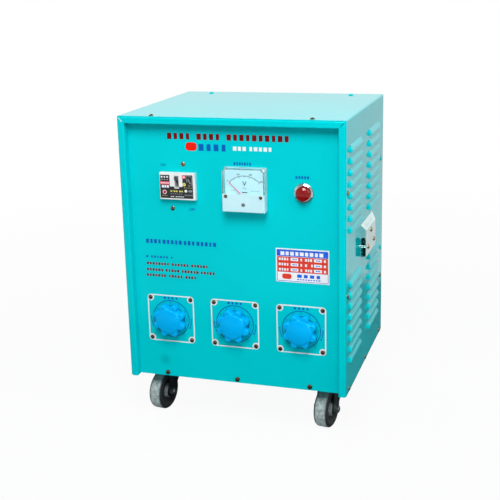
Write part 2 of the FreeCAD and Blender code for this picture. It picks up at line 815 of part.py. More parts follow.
def make_meter_screws():
    z = skirt_z + meter_rise + meter_screw_z
    screw = pan_screw(m3, meter_proud - 0.6)
    return [placed(screw, -Y, at(meter_x + dx, panel_y - meter_proud, z), 30)
            for dx in (-meter_screw_x, meter_screw_x)]


def lamp_axis(shape):
    """Turn a lamp piece built along +Z so that it points out of the panel."""
    return placed(shape, -Y, at(lamp_x, panel_y, skirt_z + lamp_rise))


def make_lamp_bezel():
    inner = lamp_lens + 0.1
    profile = [at(lamp_bush + 0.1, 0, 0), at(lamp_bezel, 0, 0), at(lamp_bezel, 0, 1.4),
               at(lamp_bezel - 1.0, 0, 2.6), at(inner + 0.8, 0, lamp_bezel_proud),
               at(inner, 0, lamp_bezel_proud), at(inner, 0, 3.0), at(lamp_bush + 0.1, 0, 3.0)]
    return lamp_axis(turned(profile, at(0, 0, 0), Z))


def make_lamp_lens():
    """Domed lens with a ring of ribs moulded round its side."""
    foot = 3.1
    shoulder = lamp_shoulder
    base = Part.LineSegment(at(0, 0, foot), at(lamp_lens, 0, foot))
    side = Part.LineSegment(at(lamp_lens, 0, foot), at(lamp_lens - 0.6, 0, shoulder))
    dome = dome_arc(lamp_lens - 0.6, shoulder, lamp_proud)
    axis = Part.LineSegment(at(0, 0, lamp_proud), at(0, 0, foot))
    lens = Part.Face(Part.Wire([piece.toShape() for piece in (base, side, dome, axis)]))
    lens = lens.revolve(at(0, 0, 0), Z, 360)
    groove = block(-0.6, 0.6, -0.6, 0.6, lamp_bezel_proud + 1.0, shoulder - 0.6)
    groove.rotate(at(0, 0, 0), Z, 45)
    groove.translate(at(lamp_lens, 0, 0))
    grooves = []
    for step in range(lamp_grooves):
        copy = groove.copy()
        copy.rotate(at(0, 0, 0), Z, 360 / lamp_grooves * step)
        grooves.append(copy)
    return lamp_axis(lens.cut(grooves))


def make_lamp_holder():
    """Threaded bush and lamp base behind the panel."""
    bush = rod(lamp_bush, 3.0 + lamp_depth * 0.5, at(0, 0, -lamp_depth * 0.5), Z)
    base = rod(lamp_bush + 2.0, lamp_depth * 0.5, at(0, 0, -lamp_depth), Z)
    tags = [block(x - 0.5, x + 0.5, -3, 3, -lamp_depth - 10, -lamp_depth) for x in (-6.0, 6.0)]
    return lamp_axis(joined([bush, base] + tags))


def make_lamp_nut():
    nut = hexagon(30.0, 4.0, lamp_bush + 0.1)
    nut.translate(at(0, 0, -sheet - 4.0))
    return lamp_axis(nut)


def make_rating_plate():
    z = skirt_z + plate_rise
    return block(plate_x - plate_width / 2, plate_x + plate_width / 2, panel_y - plate_thickness, panel_y,
                 z - plate_height / 2, z + plate_height / 2)


def selector_positions():
    return [selector_x - selector_pitch, selector_x, selector_x + selector_pitch]


def selector_screw_places():
    half = selector_screw_pitch / 2
    z = skirt_z + selector_rise
    return [at(x + dx, panel_y, z + dz) for x in selector_positions()
            for dx in (-half, half) for dz in (-half, half)]


def contact_angles():
    reach = contacts_each_side
    return [math.radians(90 + contact_step * step) for step in range(-reach, reach + 1)]


def selector_frame(shape, x):
    """Turn a selector piece built along +Z so that +Z points out of the panel's face."""
    return placed(shape, -Y, at(x, panel_y, skirt_z + selector_rise))


def knob_outline():
    """Eight convex lobes joined by concave arcs, all tangent."""
    step = math.radians(360 / knob_lobes)
    half = step / 2
    reach = knob_lobe_radius + knob_valley_radius
    valley = knob_lobe_centre * math.cos(half) + math.sqrt(
        reach ** 2 - (knob_lobe_centre * math.sin(half)) ** 2)

    def polar(radius, angle):
        return at(radius * math.cos(angle), radius * math.sin(angle), 0)

    def meeting(angle, side):
        lobe = polar(knob_lobe_centre, angle)
        hollow = polar(valley, angle + side * half)
        return lobe + (hollow - lobe) * (knob_lobe_radius / reach)

    edges = []
    for lobe in range(knob_lobes):
        angle = lobe * step
        edges.append(Part.Arc(meeting(angle, -1), polar(knob_lobe_centre + knob_lobe_radius, angle),
                              meeting(angle, 1)).toShape())
        edges.append(Part.Arc(meeting(angle, 1), polar(valley - knob_valley_radius, angle + half),
                              meeting(angle + step, -1)).toShape())
    return Part.Face(Part.Wire(edges))


def knob_cap_form():
    """Round body with a gently domed face, standing on the Z axis."""
    tall = knob_height - knob_gap
    edge = tall - knob_crown
    foot = 1.0
    shoulder = knob_face + 2.0
    corners = [at(0, 0, foot), at(shoulder, 0, foot), at(shoulder, 0, knob_lobe_height - 1),
               at(knob_face, 0, edge)]
    lines = [Part.LineSegment(a, b) for a, b in zip(corners, corners[1:])]
    lines.append(dome_arc(knob_face, edge, tall))
    lines.append(Part.LineSegment(at(0, 0, tall), at(0, 0, foot)))
    cap = Part.Face(Part.Wire([line.toShape() for line in lines])).revolve(at(0, 0, 0), Z, 360)
    return rounded(cap, 0.9, lambda e: near(e.BoundBox.ZMax, edge) and near(e.BoundBox.ZMin, edge))


def make_knob(x):
    """Moulded knob: lobed grip, raised domed face, bore for the shaft from behind."""
    grip = knob_outline().extrude(at(0, 0, knob_lobe_height))
    grip = grip.makeFillet(knob_edge, edges_along(grip, lambda e: near(middle(e).z, knob_lobe_height)))
    grip.rotate(at(0, 0, 0), Z, 180 / knob_lobes)
    knob = grip.fuse(knob_cap_form())
    bore = rod(selector_shaft + turn_fit, knob_height - knob_gap - knob_cap, at(0, 0, 0), Z)
    under = rod(knob_face - 2.0, 5.0, at(0, 0, -1), Z).cut(rod(9.0, 6.0, at(0, 0, -1), Z))
    knob = knob.cut([bore, under])
    knob.translate(at(0, 0, knob_gap))
    return selector_frame(knob, x)


def selector_back():
    """Depth behind the panel's face at which the selector's plate ends."""
    return sheet + selector_space + selector_plate_thickness


def make_selector_shaft(x):
    front = knob_height - knob_cap - 1.0
    length = front + selector_back() + 5.0
    return selector_frame(rod(selector_shaft, length, at(0, 0, front - length), Z), x)


def make_selector_wiper(x):
    """Hub clamped on the shaft with a contact arm pointing straight up at rest."""
    top = -sheet - 2.0
    low = -sheet - selector_space + contact_height + moving_gap
    hub = rod(10.0, top - low, at(0, 0, low), Z)
    tip = contact_circle + 3.0
    arm = block(-4.0, 4.0, 0, tip, low, low + 2.2)
    arm = rounded(arm, 3.9, lambda e: near(middle(e).y, tip) and near(abs(middle(e).x), 4.0))
    wiper = hub.fuse(arm).cut(rod(selector_shaft + turn_fit, 30, at(0, 0, low - 1), Z))
    return selector_frame(wiper, x)


def make_selector_plate(x):
    """Moulded insulating plate on four bosses that stand against the panel's back."""
    half = selector_plate / 2
    boss = selector_screw_pitch / 2
    front = -sheet - selector_space
    plate = block(-half, half, -half, half, front - selector_plate_thickness, front)
    plate = rounded(plate, 6.0, lambda e: near(abs(middle(e).x), half) and near(abs(middle(e).y), half))
    posts = [rod(selector_boss, selector_space + 1, at(sx * boss, sy * boss, front - 1), Z)
             for sx in (-1, 1) for sy in (-1, 1)]
    plate = joined([plate] + posts)
    holes = [rod(m4[0] + thread_fit, 40, at(sx * boss, sy * boss, -30), Z)
             for sx in (-1, 1) for sy in (-1, 1)]
    holes.append(rod(selector_shaft + shaft_fit, 40, at(0, 0, -40), Z))
    holes += [rod(contact_tail + thread_fit, 40, at(contact_circle * math.cos(a),
                                                    contact_circle * math.sin(a), -40), Z)
              for a in contact_angles()]
    return selector_frame(plate.cut(holes), x)


def make_selector_contacts(x):
    """Brass contact buttons with threaded tails and nuts behind the plate."""
    front = -sheet - selector_space
    pieces = []
    for angle in contact_angles():
        place = at(contact_circle * math.cos(angle), contact_circle * math.sin(angle), 0)
        button = rod(contact_radius, contact_height, at(0, 0, front), Z)
        length = selector_plate_thickness + 12.0
        tail = rod(contact_tail, length, at(0, 0, front - length), Z)
        stud = button.fuse(tail)
        nut = hexagon(8.0, 3.6, contact_tail + thread_fit)
        nut.translate(at(0, 0, front - selector_plate_thickness - 3.6))
        for piece in (stud, nut):
            piece.translate(place)
            pieces.append(selector_frame(piece, x))
    return pieces


def make_component_screws():
    """Brown M4 screws: two for the breaker, four for each selector, three for each hood."""
    short = pan_screw(m4, 12.0)
    long = pan_screw(m4, sheet + selector_space + 4.0)
    hood = pan_screw(m4, hood_proud + sheet + 2.0)
    screws = [placed(short, -Y, place, 15) for place in breaker_screw_places()]
    screws += [placed(long, -Y, place, 35) for place in selector_screw_places()]
    for side in (-1, 1):
        screws += [placed(hood, at(side, 0, 0), place, 40) for place in hood_screw_places(side)]
    return screws


def caster_places():
    x = half_width - caster_inset_x
    front = front_y + caster_inset_y
    rear = rear_y - caster_inset_y
    return [(-x, front), (x, front), (-x, rear), (x, rear)]


def caster_turns():
    """Which way each wheel trails at rest: nearly forwards in front, inwards at the rear."""
    return [caster_rest_turn, caster_rest_turn, 90.0, -90.0]


def make_caster_plates():
    """Top plates with the upper ball race and the riveted kingpin, one for each caster."""
    plates = []
    low = caster_height - caster_plate_thickness
    for x, y in caster_places():
        hx = caster_plate_x / 2
        hy = caster_plate_y / 2
        plate = block(-hx, hx, -hy, hy, low, caster_height)
        plate = rounded(plate, 8.0, lambda e: near(abs(middle(e).x), hx) and near(abs(middle(e).y), hy))
        race = turned([at(kingpin, 0, low), at(race_radius - 1.5, 0, low), at(race_radius, 0, low - 1.5),
                       at(race_radius, 0, low - race_height), at(race_radius - 5.0, 0, low - race_height),
                       at(race_radius - 6.5, 0, low - 3.0), at(kingpin, 0, low - 3.0)], at(0, 0, 0), Z)
        pin = rod(kingpin, race_height + 11.0, at(0, 0, low - race_height - 8.0), Z)
        head = rod(kingpin + 3.5, 2.2, at(0, 0, low - race_height - 8.0), Z)
        plate = joined([plate, race, pin, head])
        plate = plate.cut([rod(caster_bolt + clear_fit, 10,
                               at(sx * caster_bolt_x / 2, sy * caster_bolt_y / 2, low - 2), Z)
                           for sx in (-1, 1) for sy in (-1, 1)])
        plate.translate(at(x, y, 0))
        plates.append(plate)
    return plates


def make_caster_bolts():
    """M6 bolts from below with nuts on the base tray."""
    low = caster_height - caster_plate_thickness
    bolts = []
    for x, y in caster_places():
        for sx in (-1, 1):
            for sy in (-1, 1):
                place = at(x + sx * caster_bolt_x / 2, y + sy * caster_bolt_y / 2, 0)
                shank = rod(caster_bolt, base_top - low + 6.5, at(0, 0, low), Z)
                head = hexagon(10.0, 4.0)
                head.rotate(at(0, 0, 0), X, 180)
                head.translate(at(0, 0, low))
                bolt = head.fuse(shank)
                nut = hexagon(10.0, 5.0, caster_bolt + thread_fit)
                nut.translate(at(0, 0, base_top))
                for piece in (bolt, nut):
                    piece.translate(place)
                    bolts.append(piece)
    return bolts


def fork_top():
    return caster_height - caster_plate_thickness - race_height - moving_gap


def to_caster(shape, place, turn):
    """Move a caster piece, built with its kingpin on the Z axis and trailing to -Y."""
    copy = shape.copy()
    copy.rotate(at(0, 0, 0), Z, turn)
    copy.translate(at(place[0], place[1], 0))
    return copy


def make_fork():
    """Pressed fork: round crown with the lower race, two legs tapering down to the axle."""
    top = fork_top()
    half = fork_inside / 2 + fork_sheet
    crown = block(-half, half, -26.0, 17.0, top - 3.0, top)
    crown = rounded(crown, 10.0, lambda e: near(abs(middle(e).x), half) and near(middle(e).z, top - 1.5)
                    and near(middle(e).y, 17.0))
    race = Part.makeCone(race_radius - 1.0, race_radius - 3.0, 3.0, at(0, 0, top - 5.5))
    leg_top = top - 0.5
    round_end = 11.0
    shape = outline([at(0, -26.0, leg_top), at(0, 11.0, leg_top), at(0, 13.0, leg_top - 18.0),
                     at(0, -caster_trail + round_end * 0.86, wheel_radius - round_end * 0.5),
                     at(0, -caster_trail - round_end * 0.98, wheel_radius + round_end * 0.2)])
    leg = shape.extrude(at(fork_sheet, 0, 0))
    end = rod(round_end, fork_sheet, at(0, -caster_trail, wheel_radius), X)
    leg = leg.fuse(end)
    right = leg.copy()
    right.translate(at(fork_inside / 2, 0, 0))
    left = leg.copy()
    left.translate(at(-fork_inside / 2 - fork_sheet, 0, 0))
    fork = joined([crown, race, right, left])
    bores = [rod(kingpin + turn_fit, 30, at(0, 0, top - 20), Z),
             rod(axle_bolt + turn_fit, 60, at(-30, -caster_trail, wheel_radius), X)]
    return fork.cut(bores)


def make_axle():
    """Axle bolt and nut with the spacer sleeve that the wheel turns on."""
    out = fork_inside / 2 + fork_sheet
    centre = at(0, -caster_trail, wheel_radius)
    bolt = rod(axle_bolt, 2 * out + 8.0, centre - X * out, X)
    head = hexagon(13.0, 5.2)
    head = placed(head, -X, centre - X * out)
    nut = placed(hexagon(13.0, 6.5, axle_bolt + turn_fit), X, centre + X * out)
    sleeve = rod(axle_sleeve, fork_inside, centre - X * (fork_inside / 2), X)
    sleeve = sleeve.cut(rod(axle_bolt + turn_fit, fork_inside + 2, centre - X * (fork_inside / 2 + 1), X))
    return [bolt.fuse(head), nut, sleeve]


def make_wheel():
    """Moulded rubber wheel with rounded tread edges, dished sides and a hub boss."""
    half = wheel_width / 2
    boss = fork_inside / 2 - 0.5
    bore = axle_sleeve + turn_fit
    edge = 6.0
    side = []
    lines = [(at(boss, 0, bore), at(boss, 0, 12.5)), (at(boss, 0, 12.5), at(half - 5.0, 0, 15.0)),
             (at(half - 5.0, 0, 15.0), at(half - 5.0, 0, 24.0)),
             (at(half - 5.0, 0, 24.0), at(half - 1.2, 0, 27.0)),
             (at(half - 1.2, 0, 27.0), at(half, 0, wheel_radius - edge))]
    side += [Part.LineSegment(*line).toShape() for line in lines]
    side.append(Part.Arc(at(half, 0, wheel_radius - edge), at(half - 1.8, 0, wheel_radius - 1.8),
                         at(half - edge, 0, wheel_radius)).toShape())
    mirrored = [segment.mirror(at(0, 0, 0), X) for segment in side]
    tread = Part.LineSegment(at(half - edge, 0, wheel_radius), at(edge - half, 0, wheel_radius)).toShape()
    bore_line = Part.LineSegment(at(boss, 0, bore), at(-boss, 0, bore)).toShape()
    wire = Part.Wire(Part.__sortEdges__(side + mirrored + [tread, bore_line]))
    wheel = Part.Face(wire).revolve(at(0, 0, 0), X, 360)
    wheel.translate(at(0, -caster_trail, wheel_radius))
    return wheel


def limb_positions():
    pitch = limb + window_width
    return [-pitch, 0.0, pitch]


def make_core():
    """Three-limb stack of laminations with the holes for the clamp bolts."""
    half = core_stack / 2
    y0 = core_middle_y - half
    core = block(-core_width / 2, core_width / 2, y0, y0 + core_stack,
                 core_bottom, core_bottom + core_height)
    windows = []
    for side in (-1, 1):
        centre = side * (limb + window_width) / 2
        windows.append(block(centre - window_width / 2, centre + window_width / 2, y0 - 1,
                             y0 + core_stack + 1, core_bottom + limb, core_bottom + limb + window_height))
    holes = [rod(clamp_bolt + clear_fit, core_stack + 2, at(x, y0 - 1, z), Y)
             for x, z in clamp_bolt_places()]
    return core.cut(windows + holes)


def clamp_bolt_places():
    return [(x, z) for x in (clamp_bolt_inset - core_width / 2, 0.0, core_width / 2 - clamp_bolt_inset)
            for z in (core_bottom + limb / 2, core_bottom + core_height - limb / 2)]


def foot_bolt_places():
    y = core_stack / 2 + clamp_foot * 0.62
    return [at(sx * (core_width / 2 - 35.0), core_middle_y + sy * y, base_top)
            for sx in (-1, 1) for sy in (-1, 1)]


def make_clamps():
    """Four steel angles: two feet under the core and two rails along its top."""
    clamps = []
    length = core_width / 2 - clamp_inset
    top = core_bottom + core_height
    for side in (-1, 1):
        face = core_middle_y + side * core_stack / 2
        y_leg = sorted((face, face + side * clamp_steel))
        y_foot = sorted((face, face + side * clamp_foot))
        lower = joined([block(-length, length, *y_leg, base_top, base_top + clamp_leg),
                        block(-length, length, *y_foot, base_top, base_top + clamp_steel)])
        upper = joined([block(-length, length, *y_leg, top + 6.0 - clamp_leg, top + 6.0),
                        block(-length, length, *y_foot, top + 6.0 - clamp_steel, top + 6.0)])
        holes = [rod(clamp_bolt + clear_fit, 3 * clamp_steel, at(x, face - 1.5 * clamp_steel, z), Y)
                 for x, z in clamp_bolt_places()]
        holes += [rod(clamp_bolt + clear_fit, 3 * clamp_steel, place - Z * clamp_steel, Z)
                  for place in foot_bolt_places()]
        holes += [rod(3.0 + clear_fit, 3 * clamp_steel, place - Z * 1.5 * clamp_steel, Z)
                  for place in board_screw_places()]
        clamps += [lower.cut(holes), upper.cut(holes)]
    return clamps


def make_clamp_bolts():
    """Through bolts across both yokes, and the bolts that hold the feet to the base tray."""
    bolts = []
    reach = core_stack / 2 + clamp_steel
    for x, z in clamp_bolt_places():
        bolt = rod(clamp_bolt, 2 * reach + 9.0, at(x, core_middle_y - reach, z), Y)
        head = placed(hexagon(13.0, 5.3), -Y, at(x, core_middle_y - reach, z))
        nut = placed(hexagon(13.0, 6.5, clamp_bolt + thread_fit), Y, at(x, core_middle_y + reach, z))
        bolts += [bolt.fuse(head), nut]
    for place in foot_bolt_places():
        foot_top = base_top + clamp_steel
        bolt = rod(clamp_bolt, clamp_steel + base_sheet + 7.0, at(place.x, place.y, caster_height - 7.0), Z)
        head = hexagon(13.0, 5.3)
        head.translate(at(place.x, place.y, foot_top))
        nut = hexagon(13.0, 6.0, clamp_bolt + thread_fit)
        nut.translate(at(place.x, place.y, caster_height - 6.0))
        bolts += [bolt.fuse(head), nut]
    return bolts


def rounded_ring(x, inner_x, inner_y, wall, corner, z0, z1):
    """Rectangular ring with rounded corners round one limb."""
    def solid(grow):
        shape = block(x - inner_x - grow, x + inner_x + grow, core_middle_y - inner_y - grow,
                      core_middle_y + inner_y + grow, z0, z1)
        radius = corner + grow
        if radius < 0.2:
            return shape
        return shape.makeFillet(radius, edges_along(shape, lambda e: near(middle(e).z, (z0 + z1) / 2)))
    return solid(wall).cut(solid(0.0))


def make_bobbin(x):
    """Insulating former: a square tube with a flange at each end."""
    gap = bobbin_gap
    z0 = core_bottom + limb + 0.5
    z1 = z0 + window_height - 1.0
    inner_x = limb / 2 + gap
    inner_y = core_stack / 2 + gap
    flange = bobbin_wall + inner_winding + winding_gap + outer_winding
    tube = rounded_ring(x, inner_x, inner_y, bobbin_wall, 0.0, z0, z1)
    ends = [rounded_ring(x, inner_x, inner_y, flange, 0.0, z, z + bobbin_flange)
            for z in (z0, z1 - bobbin_flange)]
    return joined([tube] + ends)


def make_winding(x, start, wall):
    """One winding between the bobbin's flanges."""
    z0 = core_bottom + limb + 0.5 + bobbin_flange + 0.2
    z1 = core_bottom + limb + window_height - 0.5 - bobbin_flange - 0.2
    inner = bobbin_gap + bobbin_wall + start
    return rounded_ring(x, limb / 2 + inner, core_stack / 2 + inner, wall, 2.0 + start, z0, z1)


def board_half():
    return core_stack / 2 + clamp_foot


def board_screw_places():
    y = core_stack / 2 + clamp_foot * 0.62
    return [at(sx * (board_length / 2 - 14.0), core_middle_y + sy * y, core_bottom + core_height + 6.0)
            for sx in (-1, 1) for sy in (-1, 1)]


def board_stud_places():
    pitch = (board_length - 50.0) / (board_studs_in_row - 1)
    return [(x, core_middle_y + y) for y in (-22.0, 22.0)
            for x in [-(board_length - 50.0) / 2 + pitch * i for i in range(board_studs_in_row)]]


def make_terminal_board():
    """Insulating board across the top rails, where the windings' ends are joined."""
    z = core_bottom + core_height + 6.0
    board = block(-board_length / 2, board_length / 2, core_middle_y - board_half(),
                  core_middle_y + board_half(), z, z + board_thickness)
    cuts = [rod(3.0 + clear_fit, 20, place - Z * 5, Z) for place in board_screw_places()]
    cuts += [rod(board_stud + thread_fit, 20, at(x, y, z - 5), Z) for x, y in board_stud_places()]
    return board.cut(cuts)


def make_terminal_studs():
    """Brass studs with nuts above and below the board, and the board's own four screws."""
    z = core_bottom + core_height + 6.0
    pieces = []
    for x, y in board_stud_places():
        stud = rod(board_stud, board_thickness + 26.0, at(x, y, z - 5.0), Z)
        lower = hexagon(10.0, 4.5, board_stud + thread_fit)
        lower.translate(at(x, y, z - 4.5))
        upper = hexagon(10.0, 4.5, board_stud + thread_fit)
        upper.translate(at(x, y, z + board_thickness))
        pieces += [stud, lower, upper]
    for place in board_screw_places():
        bolt = rod(3.0, board_thickness + clamp_steel + 7.0, place - Z * (clamp_steel + 7.0), Z)
        head = hexagon(10.0, 4.0)
        head.translate(place + Z * board_thickness)
        nut = hexagon(10.0, 5.0, 3.0 + thread_fit)
        nut.translate(place - Z * (clamp_steel + 5.0))
        pieces += [bolt.fuse(head), nut]
    return pieces


def build_cabinet():
    save("cover", make_cover())
    save("front_panel", make_front_panel())
    save("rear_panel", make_rear_panel())
    save("base_tray", make_base_tray())
    brown, painted = make_cabinet_screws()
    save("cabinet_screws", brown)
    save("painted_screws", painted)
    save("outlet_hood_right", make_hood(1))
    save("outlet_hood_left", make_hood(-1))
    save("cable_grommets", [make_grommet(1), make_grommet(-1)])
    save("rating_plate", make_rating_plate())
    save("component_screws", make_component_screws())


def build_instruments():
    save("breaker_case", make_breaker_case())
    save("breaker_toggle", make_breaker_toggle())
    save("breaker_test_button", make_test_button())
    save("meter_case", make_meter_case())
    save("meter_dial", make_meter_dial())
    window, lower = make_meter_covers()
    save("meter_window", window)
    save("meter_lower_cover", lower)
    save("meter_pointer", make_meter_pointer())
    save("meter_zero_screw", make_zero_screw())
    save("meter_screws", make_meter_screws())
    save("lamp_bezel", make_lamp_bezel())
    save("lamp_lens", make_lamp_lens())
    save("lamp_holder", make_lamp_holder())
    save("lamp_nut", make_lamp_nut())


def build_selectors():
    contacts = []
    for x, side in zip(selector_positions(), ("left", "centre", "right")):
        save("selector_knob_" + side, make_knob(x))
        save("selector_shaft_" + side, make_selector_shaft(x))
        save("selector_wiper_" + side, make_selector_wiper(x))
        save("selector_plate_" + side, make_selector_plate(x))
        contacts += make_selector_contacts(x)
    save("selector_contacts", contacts)


def build_casters():
    save("caster_plates", make_caster_plates())
    save("caster_bolts", make_caster_bolts())
    names = ("front_left", "front_right", "rear_left", "rear_right")
    for place, turn, name in zip(caster_places(), caster_turns(), names):
        save("caster_fork_" + name, to_caster(make_fork(), place, turn))
        save("caster_axle_" + name, [to_caster(piece, place, turn) for piece in make_axle()])
        save("caster_wheel_" + name, to_caster(make_wheel(), place, turn))


def build_transformer():
    save("core", make_core())
    save("core_clamps", make_clamps())
    save("clamp_bolts", make_clamp_bolts())
    save("coil_bobbins", [make_bobbin(x) for x in limb_positions()])
    save("inner_windings", [make_winding(x, 0.2, inner_winding - 0.2) for x in limb_positions()])
    outer_start = inner_winding + winding_gap
    save("outer_windings", [make_winding(x, outer_start, outer_winding - 0.5) for x in limb_positions()])
    save("terminal_board", make_terminal_board())
    save("terminal_studs", make_terminal_studs())


build_cabinet()
build_instruments()
build_selectors()
build_casters()
build_transformer()
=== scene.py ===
import json
import math

import bmesh
import bpy
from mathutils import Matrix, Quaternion, Vector
from mathutils.geometry import tessellate_polygon


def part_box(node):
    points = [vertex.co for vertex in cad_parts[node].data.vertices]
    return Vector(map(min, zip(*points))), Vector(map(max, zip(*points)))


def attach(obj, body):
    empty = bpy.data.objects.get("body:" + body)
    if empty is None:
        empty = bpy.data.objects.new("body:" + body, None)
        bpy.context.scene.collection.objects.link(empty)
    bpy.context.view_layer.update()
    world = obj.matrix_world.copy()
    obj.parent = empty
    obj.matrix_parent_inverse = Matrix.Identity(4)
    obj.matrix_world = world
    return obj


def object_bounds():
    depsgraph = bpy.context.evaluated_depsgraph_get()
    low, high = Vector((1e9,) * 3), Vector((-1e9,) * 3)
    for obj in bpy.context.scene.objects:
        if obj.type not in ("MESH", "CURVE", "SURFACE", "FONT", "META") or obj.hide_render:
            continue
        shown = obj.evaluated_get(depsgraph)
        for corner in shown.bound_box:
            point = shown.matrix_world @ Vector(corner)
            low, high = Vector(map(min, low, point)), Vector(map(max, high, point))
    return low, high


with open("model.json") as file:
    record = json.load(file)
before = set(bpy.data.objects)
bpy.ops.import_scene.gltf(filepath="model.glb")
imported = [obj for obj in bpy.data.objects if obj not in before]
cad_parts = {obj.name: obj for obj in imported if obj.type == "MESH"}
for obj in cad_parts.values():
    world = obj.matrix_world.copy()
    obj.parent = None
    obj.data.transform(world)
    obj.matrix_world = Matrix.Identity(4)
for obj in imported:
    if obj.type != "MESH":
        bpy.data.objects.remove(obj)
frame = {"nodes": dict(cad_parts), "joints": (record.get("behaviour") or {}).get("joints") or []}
cad_low, cad_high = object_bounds()


# Cabinet: a cover, a front tray, a rear tray and a floor, all folded from sheet steel.
# They are sprayed with one coat of turquoise gloss enamel, which mirrors the floor at a low angle.
# The enamel carries streaks of wiping and one dull smudge low on the front.

mm = 0.001
nodes = frame["nodes"]
enamel_light = (0.0, 0.620, 0.665, 1)
enamel_deep = (0.0, 0.585, 0.635, 1)
enamel_sheen = (0.05, 0.75, 0.85, 1)
enamel_grain = 6
enamel_rough = (0.035, 0.1)
streak_grain = 40
streak_stretch = (0.12, 1, 1)
spray_grain = 150
spray_relief = 0.03 * mm
face_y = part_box("rating_plate")[1].y
smudge_dark = (0.0, 0.30, 0.34, 1)
smudge_place = (-147.5 * mm, face_y, 123.6 * mm)
smudge_radius = 15 * mm
smudge_core = 3 * mm
smudge_strength = 0.45


def new_finish(name):
    """A material and its shader, ready for colour and texture."""
    finish = bpy.data.materials.new(name)
    finish.use_nodes = True
    return finish, finish.node_tree, finish.node_tree.nodes["Principled BSDF"]


def wired(tree, kind, settings, inputs):
    """A shader node with its settings, its input values and what feeds it."""
    node = tree.nodes.new(kind)
    for key, value in settings.items():
        setattr(node, key, value)
    for key, value in inputs.items():
        if hasattr(value, "node"):
            tree.links.new(value, node.inputs[key])
        else:
            node.inputs[key].default_value = value
    return node


def coordinate(tree, kind):
    """A coordinate of the piece itself, such as its own place or its outward direction."""
    return tree.nodes.new("ShaderNodeTexCoord").outputs[kind]


def measure(tree, operation, *vectors):
    """A length, a distance or a product of vectors."""
    inputs = dict(enumerate(vectors))
    return wired(tree, "ShaderNodeVectorMath", {"operation": operation}, inputs).outputs["Value"]


def cloud(tree, scale, detail=3.0, stretch=None):
    """Noise fixed to the piece, about 0 to 1."""
    place = coordinate(tree, "Object")
    if stretch:
        place = wired(tree, "ShaderNodeMapping", {}, {"Vector": place, "Scale": stretch}).outputs["Vector"]
    noise = wired(tree, "ShaderNodeTexNoise", {}, {"Vector": place, "Scale": scale, "Detail": detail})
    return noise.outputs["Fac"]


def span(tree, value, from_low, from_high, to_low, to_high):
    """A value moved from one range to another and kept inside it."""
    inputs = {"Value": value, "From Min": from_low, "From Max": from_high,
              "To Min": to_low, "To Max": to_high}
    return wired(tree, "ShaderNodeMapRange", {}, inputs).outputs["Result"]


def between(tree, factor, low, high):
    """A colour between two, by a factor from 0 to 1."""
    mix = wired(tree, "ShaderNodeMix", {"data_type": "RGBA"}, {"Factor": factor, "A": low, "B": high})
    return mix.outputs["Result"]


def mottled(tree, scale, light, dark):
    """A colour that wanders between two in soft patches."""
    return between(tree, span(tree, cloud(tree, scale), 0.35, 0.65, 0, 1), light, dark)


def ripple(tree, shader, height, depth, strength):
    """Relief of the given depth in metres, drawn by shading only."""
    bump = wired(tree, "ShaderNodeBump", {}, {"Height": height, "Distance": depth, "Strength": strength})
    tree.links.new(bump.outputs["Normal"], shader.inputs["Normal"])


def coat(names, finish):
    """Give CAD nodes their finish in place of the plain one they came with."""
    for name in names:
        mesh = nodes[name].data
        mesh.materials.clear()
        mesh.materials.append(finish)


cabinet_enamel, tree, shader = new_finish("turquoise_enamel")
shader.inputs["Specular Tint"].default_value = enamel_sheen
from_smudge = measure(tree, "DISTANCE", coordinate(tree, "Object"), smudge_place)
smudge = span(tree, from_smudge, smudge_core, smudge_radius, smudge_strength, 0)
clean_colour = mottled(tree, enamel_grain, enamel_light, enamel_deep)
tree.links.new(between(tree, smudge, clean_colour, smudge_dark), shader.inputs["Base Color"])
streaks = cloud(tree, streak_grain, 4, streak_stretch)
tree.links.new(span(tree, streaks, 0.35, 0.7, *enamel_rough), shader.inputs["Roughness"])
ripple(tree, shader, cloud(tree, spray_grain, 2), spray_relief, 0.2)
coat(["cover", "front_panel", "rear_panel", "base_tray", "painted_screws"], cabinet_enamel)


# Screws: pan heads in yellow-brown passivated zinc, driven through the sheet.
# The same finish is on the screws of the breaker, the meter, the selectors and the hoods.

fine_relief = 0.02 * mm


def uneven_gloss(tree, shader, scale, rough):
    """Roughness that wanders between two values in soft patches."""
    tree.links.new(span(tree, cloud(tree, scale), 0.3, 0.7, *rough), shader.inputs["Roughness"])


def cloudy(name, light, dark, rough, grain, gloss_grain, settings):
    """A finish with cloudy colour, uneven gloss and fine relief, and with some inputs set plainly."""
    finish, tree, shader = new_finish(name)
    for key, value in settings.items():
        shader.inputs[key].default_value = value
    tree.links.new(mottled(tree, grain, light, dark), shader.inputs["Base Color"])
    uneven_gloss(tree, shader, gloss_grain, rough)
    ripple(tree, shader, cloud(tree, grain * 8, 2), fine_relief, 0.3)
    return finish


def metal(name, light, dark, rough, grain):
    """A bare or plated metal."""
    return cloudy(name, light, dark, rough, grain, grain * 3, {"Metallic": 1.0})


brown_zinc = metal("brown_zinc", (0.40, 0.30, 0.18, 1), (0.13, 0.09, 0.05, 1), (0.12, 0.26), 300)
coat(["cabinet_screws", "component_screws", "meter_screws"], brown_zinc)


# Outlet hoods: pressed steel covers with bright nickel plate, screwed over the cable holes.
# A white nylon ring is snapped into each hole behind them.

# The nickel's colour is tinted cyan-green: a painted reflection of the turquoise enamel around it.
nickel_with_painted_cyan_reflection = metal("nickel_with_painted_cyan_reflection", (0.68, 0.88, 0.86, 1), (0.56, 0.76, 0.745, 1), (0.08, 0.2), 60)
coat(["outlet_hood_right", "outlet_hood_left"], nickel_with_painted_cyan_reflection)


def moulding(name, light, dark, rough, grain, gloss=0.5, sheen=(1, 1, 1, 1)):
    """A plastic, a rubber, a paint or an ink."""
    settings = {"Specular Tint": sheen, "Specular IOR Level": gloss}
    return cloudy(name, light, dark, rough, grain, grain * 2, settings)


grommet_nylon = moulding("grommet_nylon", (0.80, 0.83, 0.80, 1), (0.72, 0.75, 0.73, 1), (0.3, 0.45), 120)
coat(["cable_grommets"], grommet_nylon)


